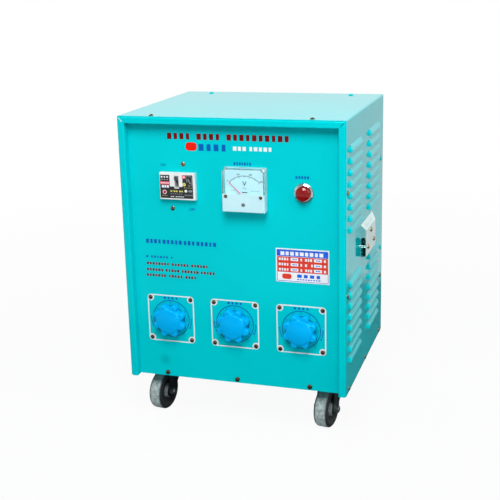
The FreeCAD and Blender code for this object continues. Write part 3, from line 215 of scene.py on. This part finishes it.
# Printing on the recessed front: screen ink laid straight on the enamel.
# It is made of rows of plain blocks and one rounded field, and only ON and OFF are lettering.

skirt_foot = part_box("cover")[0].z / mm
ink_film = 0.06 * mm
weld_distance = 0.001 * mm
block_shares = (1.0, 0.82, 0.94, 0.74)
badge_corner = 6
letter_height = 4.9
letter_weight = 0.02


def printing_ink(name, light, dark):
    """Dull screen ink."""
    return moulding(name, light, dark, (0.4, 0.55), 200, gloss=0.15)


title_red = printing_ink("title_red", (0.19, 0.002, 0.004, 1), (0.15, 0.002, 0.003, 1))
badge_red = printing_ink("badge_red", (0.88, 0.012, 0.002, 1), (0.80, 0.010, 0.002, 1))
legend_blue = printing_ink("legend_blue", (0.0, 0.12, 0.50, 1), (0.0, 0.09, 0.42, 1))
border_white = moulding("border_white", (0.86, 0.88, 0.90, 1), (0.78, 0.81, 0.84, 1), (0.3, 0.45), 200)


def oblong(x0, z0, x1, z1):
    """Loop of a rectangle."""
    return [(x0, z0), (x1, z0), (x1, z1), (x0, z1)]


def on_circle(x, z, radius, angle):
    """A point on a circle; degrees count clockwise from the top."""
    turn = math.radians(angle)
    return x + radius * math.sin(turn), z + radius * math.cos(turn)


def arc(x, z, radius, start, end, steps):
    """Points on an arc."""
    return [on_circle(x, z, radius, start + (end - start) * step / steps) for step in range(steps + 1)]


def circle(x, z, radius, steps=48):
    """Loop of a circle."""
    return arc(x, z, radius, 0, 360, steps)[:-1]


def sector(x, z, inner, outer, start, end, steps):
    """Loop of a piece of a ring."""
    return arc(x, z, outer, start, end, steps) + arc(x, z, inner, end, start, steps)


def rounded_oblong(x0, z0, x1, z1, radius):
    """Loop of a rectangle with rounded corners."""
    corners = ((x1 - radius, z1 - radius, 0), (x1 - radius, z0 + radius, 90),
               (x0 + radius, z0 + radius, 180), (x0 + radius, z1 - radius, 270))
    return [point for x, z, turn in corners for point in arc(x, z, radius, turn, turn + 90, 6)]


def placed(name, data):
    """An object that holds the data, linked into the scene."""
    thing = bpy.data.objects.new(name, data)
    bpy.context.scene.collection.objects.link(thing)
    return thing


def ink(film, *loops):
    """Add an inked patch to a film: one outline, and any holes in it."""
    corners = [[Vector((x * mm, z * mm, 0)) for x, z in loop] for loop in loops]
    points = [film.verts.new(corner) for loop in corners for corner in loop]
    for triangle in tessellate_polygon(corners):
        film.faces.new([points[index] for index in triangle])


def letters(film, text, x, z, height, weight=0.0):
    """Add lettering to a film, centred on a point, with capitals of the given height.

    Weight thickens the strokes.
    """
    curve = bpy.data.curves.new(text, "FONT")
    curve.body = text
    curve.offset = weight
    writer = placed(text, curve)
    bpy.context.view_layer.update()
    mesh = bpy.data.meshes.new_from_object(writer.evaluated_get(bpy.context.evaluated_depsgraph_get()))
    low = Vector([min(v.co[axis] for v in mesh.vertices) for axis in range(3)])
    high = Vector([max(v.co[axis] for v in mesh.vertices) for axis in range(3)])
    size = height * mm / (high.y - low.y)
    middle = (low + high) / 2
    points = []
    for vertex in mesh.vertices:
        across = (vertex.co - middle) * size
        points.append(film.verts.new((x * mm + across.x, z * mm + across.y, 0)))
    for face in mesh.polygons:
        film.faces.new([points[index] for index in face.vertices])
    bpy.data.objects.remove(writer)
    bpy.data.curves.remove(curve)
    bpy.data.meshes.remove(mesh)


def lay(film, name, finish, surface_y):
    """Turn a film into a thin solid on a surface that faces -Y, and fix it to the cabinet."""
    bmesh.ops.remove_doubles(film, verts=film.verts, dist=weld_distance)
    for vertex in film.verts:
        vertex.co = Vector((vertex.co.x, surface_y, vertex.co.y))
    raised = bmesh.ops.extrude_face_region(film, geom=film.faces[:])
    for vertex in [item for item in raised["geom"] if isinstance(item, bmesh.types.BMVert)]:
        vertex.co.y -= ink_film
    bmesh.ops.recalc_face_normals(film, faces=film.faces)
    mesh = bpy.data.meshes.new(name)
    film.to_mesh(mesh)
    film.free()
    mesh.materials.append(finish)
    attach(placed(name, mesh), "cabinet")


def block_rows(film, left, foot, rows):
    """Add rows of plain blocks, measured from a corner; their widths vary a little in turn.

    A row is its start x and foot z, the number of blocks in each group, a block's width and height,
    the gap between blocks and the space between groups.
    """
    for x, z, groups, width, height, gap, space in rows:
        x += left
        z += foot
        count = 0
        for group in groups:
            for block in range(group):
                spare = width * (1 - block_shares[count % len(block_shares)]) / 2
                ink(film, oblong(x + spare, z, x + width - spare, z + height))
                x += width + gap
                count += 1
            x += space - gap


red = bmesh.new()
block_rows(red, 0, skirt_foot, (
    (-123.0, 470.0, (4, 4, 10), 8.6, 11.4, 3.4, 13.0),
    (-176.3, 226.0, (8, 6, 6), 4.2, 5.2, 1.7, 5.6),
    (-177.0, 213.7, (6, 5, 6, 5), 4.2, 5.2, 1.7, 4.9),
    (-177.7, 202.6, (7, 5, 4), 4.2, 5.2, 1.7, 5.9),
))
lay(red, "printed_red_blocks", title_red, face_y)

badge = bmesh.new()
ink(badge, rounded_oblong(-87.5, skirt_foot + 449.4, -65.7, skirt_foot + 465.0, badge_corner))
lay(badge, "printed_badge", badge_red, face_y)

blue = bmesh.new()
block_rows(blue, 0, skirt_foot, (
    (-62.0, 449.8, (4,), 9.8, 12.6, 4.6, 0),
    (-175.7, 268.9, (4, 5, 3, 5), 5.9, 8.0, 2.3, 3.6),
    (-176.9, 240.0, (1, 6, 1), 4.0, 4.2, 2.2, 5.6),
    (4.6, 425.7, (7,), 3.4, 5.4, 1.5, 0),
    (119.8, 405.0, (5,), 3.8, 5.2, 1.45, 0),
))
letters(blue, "ON", -133.6, skirt_foot + 421.3, letter_height, letter_weight)
letters(blue, "OFF", -79.4, skirt_foot + 338.6, letter_height, letter_weight)
lay(blue, "printed_blue_blocks", legend_blue, face_y)

white = bmesh.new()
block_rows(white, 0, skirt_foot, ((3.9, 452.2, (3, 5), 6.7, 7.4, 2.3, 5.6),))
lay(white, "printed_white_blocks", border_white, face_y)


# Frame corners: the frame's top and sides are folded to meet in an open mitre at each upper corner.
# The right one is drawn as a dark line of painted shade in the open slit, and the left one as a painted
# highlight along its edge.

seam_start = 2.2
seam_end = 8.8
seam_half = 0.42
frame_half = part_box("front_panel")[1].x / mm
frame_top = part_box("front_panel")[1].z / mm
frame_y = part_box("front_panel")[0].y
# A dark film of painted shade for the slit at the right corner, and a pale film of painted highlight along
# the left corner's edge.
seam_painted_shade = moulding("seam_painted_shade", (0.0, 0.075, 0.085, 1), (0.0, 0.05, 0.06, 1), (0.5, 0.7), 200, gloss=0.2)
seam_painted_highlight = moulding("seam_painted_highlight", (0.70, 0.86, 0.86, 1), (0.60, 0.78, 0.78, 1), (0.3, 0.5), 200)
for side, name, finish in ((1, "mitre_line_right", seam_painted_shade), (-1, "mitre_line_left", seam_painted_highlight)):
    seam = bmesh.new()
    ink(seam, [(side * (frame_half - reach - across), frame_top - reach + across)
               for reach, across in ((seam_start, seam_half), (seam_start, -seam_half),
                                     (seam_end, -seam_half), (seam_end, seam_half))])
    lay(seam, name, finish, frame_y)


# Rating plate: a printed film stuck on the front.
# White ground, a blue head, a red field with six white windows, and a white foot with a thin blue edge.

plate_film = moulding("plate_white", (0.90, 0.92, 0.95, 1), (0.86, 0.88, 0.92, 1), (0.2, 0.3), 80)
plate_blue = moulding("plate_blue", (0.0, 0.12, 0.75, 1), (0.0, 0.10, 0.66, 1), (0.2, 0.3), 80)
plate_red = moulding("plate_red", (0.80, 0.035, 0.01, 1), (0.70, 0.03, 0.01, 1), (0.2, 0.3), 80)
coat(["rating_plate"], plate_film)
plate_low, plate_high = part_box("rating_plate")
plate_x = plate_low.x / mm
plate_z = plate_low.z / mm
plate_wide = (plate_high.x - plate_low.x) / mm
plate_margin = 1.7
plate_line = 0.9
plate_top_line = 0.3
plate_field_corner = 4
head_foot = 49.2
head_top = 61.9
red_margin = 2.3
red_foot = 19.4
red_top = 48.6
row_feet = (41.0, 31.0, 21.2)
row_tall = 5.8
window_columns = ((27.9, 42.2), (71.7, 86.4))


def on_plate(x0, z0, x1, z1):
    """Loop of a rectangle measured from the plate's lower left corner."""
    return oblong(plate_x + x0, plate_z + z0, plate_x + x1, plate_z + z1)


blue = bmesh.new()
inside = plate_margin + plate_line
ink(blue, on_plate(plate_margin, plate_margin, plate_wide - plate_margin, red_foot),
    on_plate(inside, inside, plate_wide - inside, red_foot - plate_top_line))
ink(blue, on_plate(plate_margin, head_foot, plate_wide - plate_margin, head_top))
block_rows(blue, plate_x, plate_z, ((40.0, 9.6, (4,), 8.6, 6.2, 3.2, 0),
                                    (40.0, 5.2, (9,), 3.6, 2.0, 1.4, 0)))
block_rows(blue, plate_x, plate_z, [(left + 3.4, row_foot + 1.9, (3,), 2.4, 2.0, 0.5, 0)
                                    for row_foot in row_feet for left, right in window_columns])
lay(blue, "plate_blue_print", plate_blue, plate_low.y)

red = bmesh.new()
windows = [on_plate(left, row_foot, right, row_foot + row_tall)
           for row_foot in row_feet for left, right in window_columns]
ink(red, on_plate(red_margin, red_foot, plate_wide - red_margin, red_top), *windows)
ink(red, rounded_oblong(plate_x + 11.6, plate_z + 6.0, plate_x + 29.2, plate_z + 16.0, plate_field_corner))
lay(red, "plate_red_print", plate_red, plate_low.y)

white = bmesh.new()
block_rows(white, plate_x, plate_z, ((9.0, 51.2, (9,), 7.2, 7.0, 1.9, 0),))
for row_foot, middle_groups in zip(row_feet, ((3,), (1, 1), (3,))):
    block_rows(white, plate_x, plate_z + row_foot, (
        (5.5, 0.4, (4,), 3.7, 4.8, 1.2, 0),
        (46.4, 0.4, (1,), 3.0, 4.8, 0, 0),
        (55.0, 0.4, middle_groups, 3.6, 4.8, 1.2, 7.4),
        (90.2, 0.4, (1,), 3.6, 4.8, 0, 0),
    ))
lay(white, "plate_white_print", plate_film, plate_low.y - ink_film)


# Circuit breaker: an ivory moulded case with a slate lever and a red test button, held by two screws.
# A black label is stuck round the lever's slot, and leaves the moulding bare on both sides of it.

ivory = moulding("breaker_ivory", (0.84, 0.86, 0.86, 1), (0.78, 0.80, 0.80, 1), (0.28, 0.4), 60)
slate = moulding("lever_slate", (0.055, 0.080, 0.095, 1), (0.040, 0.060, 0.072, 1), (0.25, 0.4), 120)
test_red = moulding("test_red", (0.62, 0.012, 0.02, 1), (0.52, 0.01, 0.015, 1), (0.2, 0.3), 120)
coat(["breaker_case"], ivory)
coat(["breaker_toggle"], slate)
coat(["breaker_test_button"], test_red)


def label_ink(name, light, dark):
    """Half-gloss ink of small print."""
    return moulding(name, light, dark, (0.3, 0.4), 120)


label_black = moulding("label_black", (0.010, 0.012, 0.015, 1), (0.018, 0.020, 0.024, 1), (0.25, 0.4), 120)
label_grey = label_ink("label_grey", (0.27, 0.31, 0.32, 1), (0.20, 0.23, 0.25, 1))
label_yellow = label_ink("label_yellow", (0.80, 0.76, 0.16, 1), (0.72, 0.68, 0.12, 1))
label_olive = label_ink("label_olive", (0.27, 0.28, 0.09, 1), (0.21, 0.22, 0.07, 1))
label_pink = label_ink("label_pink", (0.86, 0.10, 0.16, 1), (0.80, 0.08, 0.13, 1))
case_low, case_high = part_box("breaker_case")
button_low, button_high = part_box("breaker_test_button")
lever_low, lever_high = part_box("breaker_toggle")
nose_wide = 69.5
nose_tall = 50.5
nose_right_of_case = 2.1
nose_above_case = 1.7
nose_left = (case_low.x + case_high.x) / 2 / mm + nose_right_of_case - nose_wide / 2
nose_foot = (case_low.z + case_high.z) / 2 / mm + nose_above_case - nose_tall / 2
button_x = (button_low.x + button_high.x) / 2 / mm
button_z = (button_low.z + button_high.z) / 2 / mm
button_hole = 3.0
button_rim = 4.0
slot_gap = 0.7
slot_rise = 21.2
slot_left = lever_low.x / mm - slot_gap
slot_right = lever_high.x / mm + slot_gap
shoulder_rise = 24.8
bare_left = 20.2
bare_right = 45.6


def nose_point(x, z):
    """A point measured from the lower left corner of the breaker's nose."""
    return nose_left + x, nose_foot + z


def on_nose(x0, z0, x1, z1):
    """Loop of a rectangle measured from the nose's lower left corner."""
    return oblong(*nose_point(x0, z0), *nose_point(x1, z1))


black = bmesh.new()
ink(black, [nose_point(1.2, 2.4), nose_point(66.0, 3.0), nose_point(65.4, 47.0),
            nose_point(bare_right, 46.8), nose_point(bare_right, shoulder_rise),
            (slot_right, nose_foot + shoulder_rise), (slot_right, nose_foot + slot_rise),
            (slot_left, nose_foot + slot_rise), (slot_left, nose_foot + shoulder_rise),
            nose_point(bare_left, shoulder_rise), nose_point(bare_left, 46.4), nose_point(1.2, 46.2)],
    circle(button_x, button_z, button_hole, 24))
lay(black, "breaker_label_ground", label_black, case_low.y)

label_y = case_low.y - ink_film
white = bmesh.new()
block_rows(white, nose_left, nose_foot, (
    (2.8, 41.0, (3,), 3.6, 3.0, 2.0, 0),
    (4.3, 22.2, (3,), 4.4, 4.8, 0.5, 0),
    (21.6, 5.2, (2, 5), 2.7, 1.6, 0.7, 3.4),
))
ink(white, circle(*nose_point(51.5, 17.1), 2.7, 24))
ink(white, circle(button_x, button_z, button_rim, 24), circle(button_x, button_z, button_hole, 24))
lay(white, "breaker_label_white", border_white, label_y)

pink = bmesh.new()
ink(pink, on_nose(0.5, 28.4, 20.5, 34.0))
ink(pink, on_nose(44.8, 40.3, 52.2, 46.3))
lay(pink, "breaker_label_pink", label_pink, label_y)

white = bmesh.new()
block_rows(white, nose_left, nose_foot, ((2.6, 30.1, (5,), 2.5, 2.2, 0.8, 0),))
ink(white, on_nose(46.8, 42.0, 50.2, 44.6))
lay(white, "breaker_label_pink_marks", border_white, label_y - ink_film)

yellow = bmesh.new()
block_rows(yellow, nose_left, nose_foot, (
    (21.0, 14.8, (1, 2), 3.6, 2.7, 0.9, 2.4),
    (38.3, 14.8, (2,), 3.4, 2.7, 0.8, 0),
))
ink(yellow, circle(*nose_point(48.8, 29.4), 3.2, 24))
lay(yellow, "breaker_label_yellow", label_yellow, label_y)

olive = bmesh.new()
block_rows(olive, nose_left, nose_foot, (
    (4.4, 6.4, (4,), 2.2, 2.0, 0.6, 0),
    (48.0, 22.4, (2, 3), 2.4, 1.9, 0.8, 1.8),
))
ink(olive, on_nose(47.2, 28.9, 50.4, 29.9))
lay(olive, "breaker_label_olive", label_olive, label_y - ink_film)

grey = bmesh.new()
block_rows(grey, nose_left, nose_foot, (
    (3.1, 36.6, (3,), 3.4, 2.2, 2.0, 0),
    (20.8, 10.6, (6,), 2.9, 1.2, 1.3, 0),
    (49.0, 8.4, (2, 3), 2.5, 1.9, 0.6, 1.4),
))
ink(grey, rounded_oblong(*nose_point(56.4, 15.3), *nose_point(64.2, 19.1), 1.6))
ink(grey, circle(*nose_point(54.3, 44.4), 1.0, 16))
for bar in ((57.0, 44.0, 63.6, 45.2), (63.4, 27.0, 64.6, 43.6), (53.6, 34.0, 55.0, 41.0),
            (56.6, 26.6, 61.2, 28.2)):
    ink(grey, on_nose(*bar))
ink(grey, [nose_point(55.4, 38.6), nose_point(57.2, 40.2), nose_point(61.8, 31.6), nose_point(60.4, 30.2)])
lay(grey, "breaker_label_grey", label_grey, label_y)


# Voltmeter: a moulded case with an enamelled dial, a clear window and a white lower cover, held by screws.
# The dial's scale is printed in black, and the needle is painted red.

joints = {joint["name"]: joint for joint in frame["joints"]}
acrylic_index = 1.49
dial_white = moulding("dial_white", (0.43, 0.71, 0.80, 1), (0.41, 0.69, 0.78, 1), (0.4, 0.5), 60)
cover_white = moulding("meter_cover_white", (0.58, 0.87, 0.94, 1), (0.55, 0.84, 0.91, 1), (0.12, 0.2), 40)
needle_red = moulding("needle_red", (0.80, 0.05, 0.12, 1), (0.74, 0.04, 0.10, 1), (0.3, 0.4), 100)
meter_grey = moulding("meter_case_grey", (0.50, 0.62, 0.64, 1), (0.45, 0.57, 0.60, 1), (0.4, 0.5), 60)
adjuster_grey = moulding("adjuster_grey", (0.22, 0.28, 0.30, 1), (0.17, 0.22, 0.24, 1), (0.35, 0.5), 100)
scale_black = moulding("scale_black", (0.03, 0.04, 0.05, 1), (0.04, 0.05, 0.06, 1), (0.4, 0.5), 100)
coat(["meter_dial"], dial_white)
coat(["meter_lower_cover"], cover_white)
coat(["meter_pointer"], needle_red)
coat(["meter_case"], meter_grey)
coat(["meter_zero_screw"], adjuster_grey)


def mix_shaders(tree, output, share, first, second):
    """Send two shaders to an output: only the first one at a share of 0, and only the second at 1."""
    mix = wired(tree, "ShaderNodeMixShader", {}, {0: share, 1: first.outputs[0], 2: second.outputs[0]})
    tree.links.new(mix.outputs[0], tree.nodes[output].inputs["Surface"])


def clear_finish(name, tint, rough, clearness):
    """A clear plastic that lets the lamps' light through to what is behind it."""
    finish, tree, shader = new_finish(name)
    shader.inputs["Base Color"].default_value = tint
    shader.inputs["Transmission Weight"].default_value = clearness
    shader.inputs["IOR"].default_value = acrylic_index
    uneven_gloss(tree, shader, 30, (rough, rough + 0.02))
    shadow_ray = tree.nodes.new("ShaderNodeLightPath").outputs["Is Shadow Ray"]
    open_way = wired(tree, "ShaderNodeBsdfTransparent", {}, {"Color": tint})
    mix_shaders(tree, "Material Output", shadow_ray, shader, open_way)
    return finish


def turning_point(joint):
    """The x and z of a joint's axis, in millimetres."""
    place = joints[joint]["pos_m"]
    return place[0] / mm, place[2] / mm


coat(["meter_window"], clear_finish("meter_window_clear", (0.96, 0.985, 0.985, 1), 0.01, 1.0))
dial_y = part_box("meter_dial")[0].y
pivot_x, pivot_z = turning_point("pointer_sweep")
scale_radius = 40.2
scale_line = 0.9
scale_half_sweep = 45
divisions = 30
long_tick = (3.2, 0.48)
middle_tick = (2.2, 0.48)
short_tick = (1.4, 0.2)
tick_overlap = 0.05
dial_numeral_radius = 44.6
dial_numeral_height = 3.2
unit_rise = 26.2
unit_height = 8.6
unit_weight = 0.025
wave_inner = 1.5
wave_outer = 2.3
wave_shift = 1.9
wave_left_rise = 17.2
wave_right_rise = 18.4
wave_half_turn = 75
bar_half = 5.0
bar_foot = 9.0
bar_top = 11.2
black = bmesh.new()
ink(black, sector(pivot_x, pivot_z, scale_radius, scale_radius + scale_line,
                  -scale_half_sweep, scale_half_sweep, 48))
for mark in range(divisions + 1):
    angle = -scale_half_sweep + 2 * scale_half_sweep * mark / divisions
    length, half = long_tick if mark % 10 == 0 else middle_tick if mark % 5 == 0 else short_tick
    half_turn = math.degrees(half / scale_radius)
    ink(black, sector(pivot_x, pivot_z, scale_radius - length, scale_radius + tick_overlap,
                      angle - half_turn, angle + half_turn, 1))
for number, angle in (("0", -46), ("100", -15), ("200", 15), ("300", 46)):
    place = on_circle(pivot_x, pivot_z, dial_numeral_radius, angle)
    letters(black, number, *place, dial_numeral_height, letter_weight)
letters(black, "V", pivot_x, pivot_z + unit_rise, unit_height, unit_weight)
ink(black, sector(pivot_x - wave_shift, pivot_z + wave_left_rise, wave_inner, wave_outer,
                  -wave_half_turn, wave_half_turn, 8))
ink(black, sector(pivot_x + wave_shift, pivot_z + wave_right_rise, wave_inner, wave_outer,
                  180 - wave_half_turn, 180 + wave_half_turn, 8))
ink(black, oblong(pivot_x - bar_half, pivot_z + bar_foot, pivot_x + bar_half, pivot_z + bar_top))
lay(black, "dial_scale", scale_black, dial_y)

grey = bmesh.new()
block_rows(grey, pivot_x, pivot_z, (
    (-26.0, 12.2, (3,), 1.9, 1.6, 0.9, 0),
    (13.0, 12.2, (2, 3), 1.9, 1.6, 0.9, 2.4),
))
lay(grey, "dial_small_print", label_grey, dial_y)


# Pilot lamp: a turned and plated bezel holding a ribbed red lens, on a bush through the panel.
# The lens is clear red plastic; a nut behind the panel holds the bush.

lamp_red = clear_finish("lamp_lens_red", (0.60, 0.004, 0.006, 1), 0.05, 0.72)
lamp_black = moulding("lamp_holder_black", (0.02, 0.02, 0.02, 1), (0.03, 0.03, 0.03, 1), (0.4, 0.5), 100)
grey_zinc = metal("grey_zinc", (0.60, 0.61, 0.62, 1), (0.46, 0.47, 0.48, 1), (0.25, 0.42), 120)
# The bezel shares the nickel whose cyan-green tint is a painted reflection of the enamel.
coat(["lamp_bezel"], nickel_with_painted_cyan_reflection)
coat(["lamp_lens"], lamp_red)
coat(["lamp_holder"], lamp_black)
coat(["lamp_nut"], grey_zinc)


# Selectors: three moulded azure knobs on steel shafts, each over a printed square and two rings.
# Behind the panel each shaft turns a brass wiper over contacts on an insulating plate.

knob_azure = moulding("knob_azure", (0.0, 0.46, 0.95, 1), (0.0, 0.42, 0.91, 1), (0.12, 0.2), 30,
                      gloss=0.6, sheen=(0.08, 0.8, 1.0, 1))
brown_laminate = moulding("brown_laminate", (0.16, 0.07, 0.03, 1), (0.10, 0.045, 0.02, 1), (0.35, 0.5), 80)
contact_brass = metal("contact_brass", (0.80, 0.58, 0.24, 1), (0.62, 0.42, 0.16, 1), (0.2, 0.35), 150)
sides = ("left", "centre", "right")
coat(["selector_knob_" + side for side in sides], knob_azure)
coat(["selector_shaft_" + side for side in sides], grey_zinc)
coat(["selector_wiper_" + side for side in sides] + ["selector_contacts"], contact_brass)
coat(["selector_plate_" + side for side in sides], brown_laminate)
square_half = 47.4
square_line = 2.3
lobe_radius = 7.0
screw_half = 41.0
outer_ring = (35.7, 37.4)
inner_ring = (25.9, 27.3)
step_angle = 30
steps_each_way = 4
step_numeral_radius = 32.4
step_numeral_height = 4.6
legend_inner = 40.0
legend_outer = 42.4
legend_angles = (87, 92.5, 98, 103.5)
legend_block = 3.8
arrow_angle = 113
arrow_half = 4
arrow_tip = 39.0


def square_border(x, z):
    """Outline and hole of the white square, which swells into a lobe round each corner screw."""
    inner = square_half - square_line
    reach = math.degrees(math.acos((inner - screw_half) / lobe_radius))
    hole = []
    for turn in (0, 90, 180, 270):
        corner = on_circle(x, z, screw_half * math.sqrt(2), turn + 45)
        hole += arc(*corner, lobe_radius, turn + 360 - reach, turn + 90 + reach, 14)
    outline = rounded_oblong(x - square_half, z - square_half, x + square_half, z + square_half, lobe_radius)
    return outline, hole


white = bmesh.new()
blue = bmesh.new()
for side in sides:
    knob_x, knob_z = turning_point("selector_" + side)
    ink(white, *square_border(knob_x, knob_z))
    for inner, outer in (outer_ring, inner_ring):
        ink(blue, circle(knob_x, knob_z, outer, 96), circle(knob_x, knob_z, inner, 96))
    for step in range(-steps_each_way, steps_each_way + 1):
        place = on_circle(knob_x, knob_z, step_numeral_radius, step * step_angle)
        letters(blue, str(abs(step)), *place, step_numeral_height)
    for angle in legend_angles:
        for start in (angle, -angle - legend_block):
            ink(blue, sector(knob_x, knob_z, legend_inner, legend_outer, start, start + legend_block, 3))
    for angle in (arrow_angle, -arrow_angle):
        ink(blue, arc(knob_x, knob_z, legend_outer, angle - arrow_half, angle + arrow_half, 3)
            + [on_circle(knob_x, knob_z, arrow_tip, angle)])
    block_rows(blue, knob_x, knob_z, ((-14.0, 39.2, (4,), 4.6, 4.3, 3.4, 0),))
lay(white, "selector_borders", border_white, face_y)
lay(blue, "selector_rings", legend_blue, face_y)


# Casters: a pressed plate and fork in dark zinc, turning on balls about a riveted pin.
# The wheel is grey-black rubber, dusty on the tread, on a bolt with a bright nut.

fork_zinc = metal("fork_zinc", (0.13, 0.155, 0.165, 1), (0.07, 0.085, 0.09, 1), (0.3, 0.5), 60)
tread_dusty = (0.46, 0.54, 0.53, 1)
tread_worn = (0.25, 0.31, 0.31, 1)
rubber_black = (0.012, 0.015, 0.017, 1)
rubber_rough = (0.6, 0.85)
rubber_relief = 0.1 * mm
caster_names = ("front_left", "front_right", "rear_left", "rear_right")


def arithmetic(tree, operation, *values):
    """The result of one sum on one or two values."""
    return wired(tree, "ShaderNodeMath", {"operation": operation}, dict(enumerate(values))).outputs[0]


def dusty_rubber(name, axle):
    """Rubber that carries grey dust where it rolls and stays black towards its sides."""
    finish, tree, shader = new_finish("dusty_rubber_" + name)
    sideways = arithmetic(tree, "ABSOLUTE", measure(tree, "DOT_PRODUCT", coordinate(tree, "Normal"), axle))
    dust = between(tree, span(tree, cloud(tree, 160, 8), 0.36, 0.64, 0, 1), tread_worn, tread_dusty)
    colour = between(tree, span(tree, sideways, 0.12, 0.6, 0, 1), dust, rubber_black)
    tree.links.new(colour, shader.inputs["Base Color"])
    uneven_gloss(tree, shader, 150, rubber_rough)
    ripple(tree, shader, cloud(tree, 400, 4), rubber_relief, 0.4)
    return finish


for name in caster_names:
    coat(["caster_wheel_" + name], dusty_rubber(name, joints["roll_" + name]["axis"]))
coat(["caster_fork_" + name for name in caster_names], fork_zinc)
coat(["caster_axle_" + name for name in caster_names] + ["caster_plates", "caster_bolts"], grey_zinc)


# Transformer inside: three coils on a laminated core, held by painted steel angles on the floor.
# A laminate board on top carries the brass studs where the windings end.

core_steel = metal("core_steel", (0.26, 0.26, 0.27, 1), (0.17, 0.17, 0.18, 1), (0.4, 0.6), 40)
clamp_black = moulding("clamp_black", (0.02, 0.02, 0.02, 1), (0.035, 0.035, 0.035, 1), (0.3, 0.45), 50)
copper = metal("varnished_copper", (0.62, 0.28, 0.12, 1), (0.42, 0.17, 0.07, 1), (0.2, 0.35), 90)
pressboard = moulding("pressboard", (0.55, 0.43, 0.25, 1), (0.46, 0.35, 0.19, 1), (0.6, 0.8), 70)
coat(["core"], core_steel)
coat(["core_clamps"], clamp_black)
coat(["clamp_bolts"], grey_zinc)
coat(["coil_bobbins"], pressboard)
coat(["inner_windings", "outer_windings"], copper)
coat(["terminal_board"], brown_laminate)
coat(["terminal_studs"], contact_brass)


# Studio: a plain pale floor under a white surround, a soft key lamp high in front,
# and weaker ones from the right and from behind on the left.
# The camera stands where the photograph was taken from, with the same shift of its frame.

floor_half = 6.0
floor_pale = (0.55, 0.57, 0.58, 1)
floor_painted_dark_in_mirror = (0.05, 0.06, 0.065, 1)
floor_fade = (0.7, 2.2)
floor_white_near = 0.94
mirrored_edge = (0.82, 0.94)
mirrored_floor_white = 0.66
wall_white_behind = 0.15
wall_dims_from = (0.3, 0.5)
wall_white_above = 0.3
plain_white = (1, 1, 1, 1)
floor_mesh = bpy.data.meshes.new("floor")
floor_mesh.from_pydata([(-floor_half, -floor_half, 0), (floor_half, -floor_half, 0),
                        (floor_half, floor_half, 0), (-floor_half, floor_half, 0)], [], [(0, 1, 2, 3)])
floor = placed("floor", floor_mesh)


def seen_share(tree, straight, mirrored):
    """The share of plain white that a ray sees: one from the camera, or one off metal or through glass.

    A ray that has left a dull surface sees none of it, so that it lights nothing.
    """
    ray = tree.nodes.new("ShaderNodeLightPath").outputs
    bounced = arithmetic(tree, "MAXIMUM", ray["Is Glossy Ray"], ray["Is Transmission Ray"])
    before_dull = arithmetic(tree, "LESS_THAN", ray["Diffuse Depth"], 0.5)
    mirror_only = arithmetic(tree, "MULTIPLY", bounced, before_dull)
    seen_straight = arithmetic(tree, "MULTIPLY", ray["Is Camera Ray"], straight)
    seen_mirrored = arithmetic(tree, "MULTIPLY", mirror_only, mirrored)
    return arithmetic(tree, "MAXIMUM", seen_straight, seen_mirrored)


floor_finish, tree, shader = new_finish("floor_white")
# For mirror rays the floor's colour turns dark: a painted dark reflection low on the cabinet's glossy sides.
mirror_ray = tree.nodes.new("ShaderNodeLightPath").outputs["Is Glossy Ray"]
tree.links.new(between(tree, mirror_ray, floor_pale, floor_painted_dark_in_mirror), shader.inputs["Base Color"])
shader.inputs["Roughness"].default_value = 0.9
away = measure(tree, "LENGTH", coordinate(tree, "Object"))
glow = wired(tree, "ShaderNodeEmission", {}, {"Color": plain_white, "Strength": 1.0})
share = seen_share(tree, span(tree, away, *floor_fade, floor_white_near, 1.0),
                   span(tree, away, *mirrored_edge, 0.0, mirrored_floor_white))
mix_shaders(tree, "Material Output", share, shader, glow)
floor_mesh.materials.append(floor_finish)

world = bpy.data.worlds.new("surround")
world.use_nodes = True
bpy.context.scene.world = world
tree = world.node_tree
ambient = tree.nodes["Background"]
ambient.inputs["Color"].default_value = (0.95, 0.98, 1.0, 1)
ambient.inputs["Strength"].default_value = 0.22
shown = wired(tree, "ShaderNodeBackground", {}, {"Color": plain_white, "Strength": 1.0})
axes = wired(tree, "ShaderNodeSeparateXYZ", {}, {"Vector": coordinate(tree, "Generated")}).outputs
wall = arithmetic(tree, "MULTIPLY", span(tree, axes["Y"], -1, 0, wall_white_behind, 1.0),
                  span(tree, axes["Z"], *wall_dims_from, 1.0, wall_white_above))
mix_shaders(tree, "World Output", seen_share(tree, 1.0, wall), ambient, shown)


def lamp(name, azimuth, elevation, distance, size, power):
    """A square soft lamp that looks at the middle of the cabinet."""
    light = bpy.data.lights.new(name, "AREA")
    light.size = size
    light.energy = power
    source = placed(name, light)
    turn = math.radians(azimuth)
    rise = math.radians(elevation)
    middle = (cad_low + cad_high) / 2
    outward = Vector((math.sin(turn) * math.cos(rise), -math.cos(turn) * math.cos(rise), math.sin(rise)))
    source.location = middle + outward * distance
    source.rotation_mode = "QUATERNION"
    source.rotation_quaternion = (-outward).to_track_quat("-Z", "Y")


lamp("key_lamp", azimuth=12, elevation=50, distance=2.2, size=1.0, power=41)
lamp("fill_lamp", azimuth=75, elevation=30, distance=3.0, size=2.0, power=30)
lamp("back_lamp", azimuth=235, elevation=30, distance=3.0, size=1.6, power=26)

camera_data = bpy.data.cameras.new("camera")
camera_data.sensor_width = 36.0
camera_data.lens = 69.911
camera_data.shift_x = -0.003014
camera_data.shift_y = -0.04474
camera = placed("camera", camera_data)
camera_place = Vector((0.55521, -1.80762, 0.85516))
camera_target = Vector((0.04070, -0.18650, 0.40487))
camera_roll = -1.373
camera.location = camera_place
camera.rotation_mode = "QUATERNION"
level = (camera_target - camera_place).to_track_quat("-Z", "Y")
camera.rotation_quaternion = level @ Quaternion((0, 0, 1), math.radians(camera_roll))
bpy.context.scene.camera = camera
bpy.context.scene.view_settings.view_transform = "Standard"
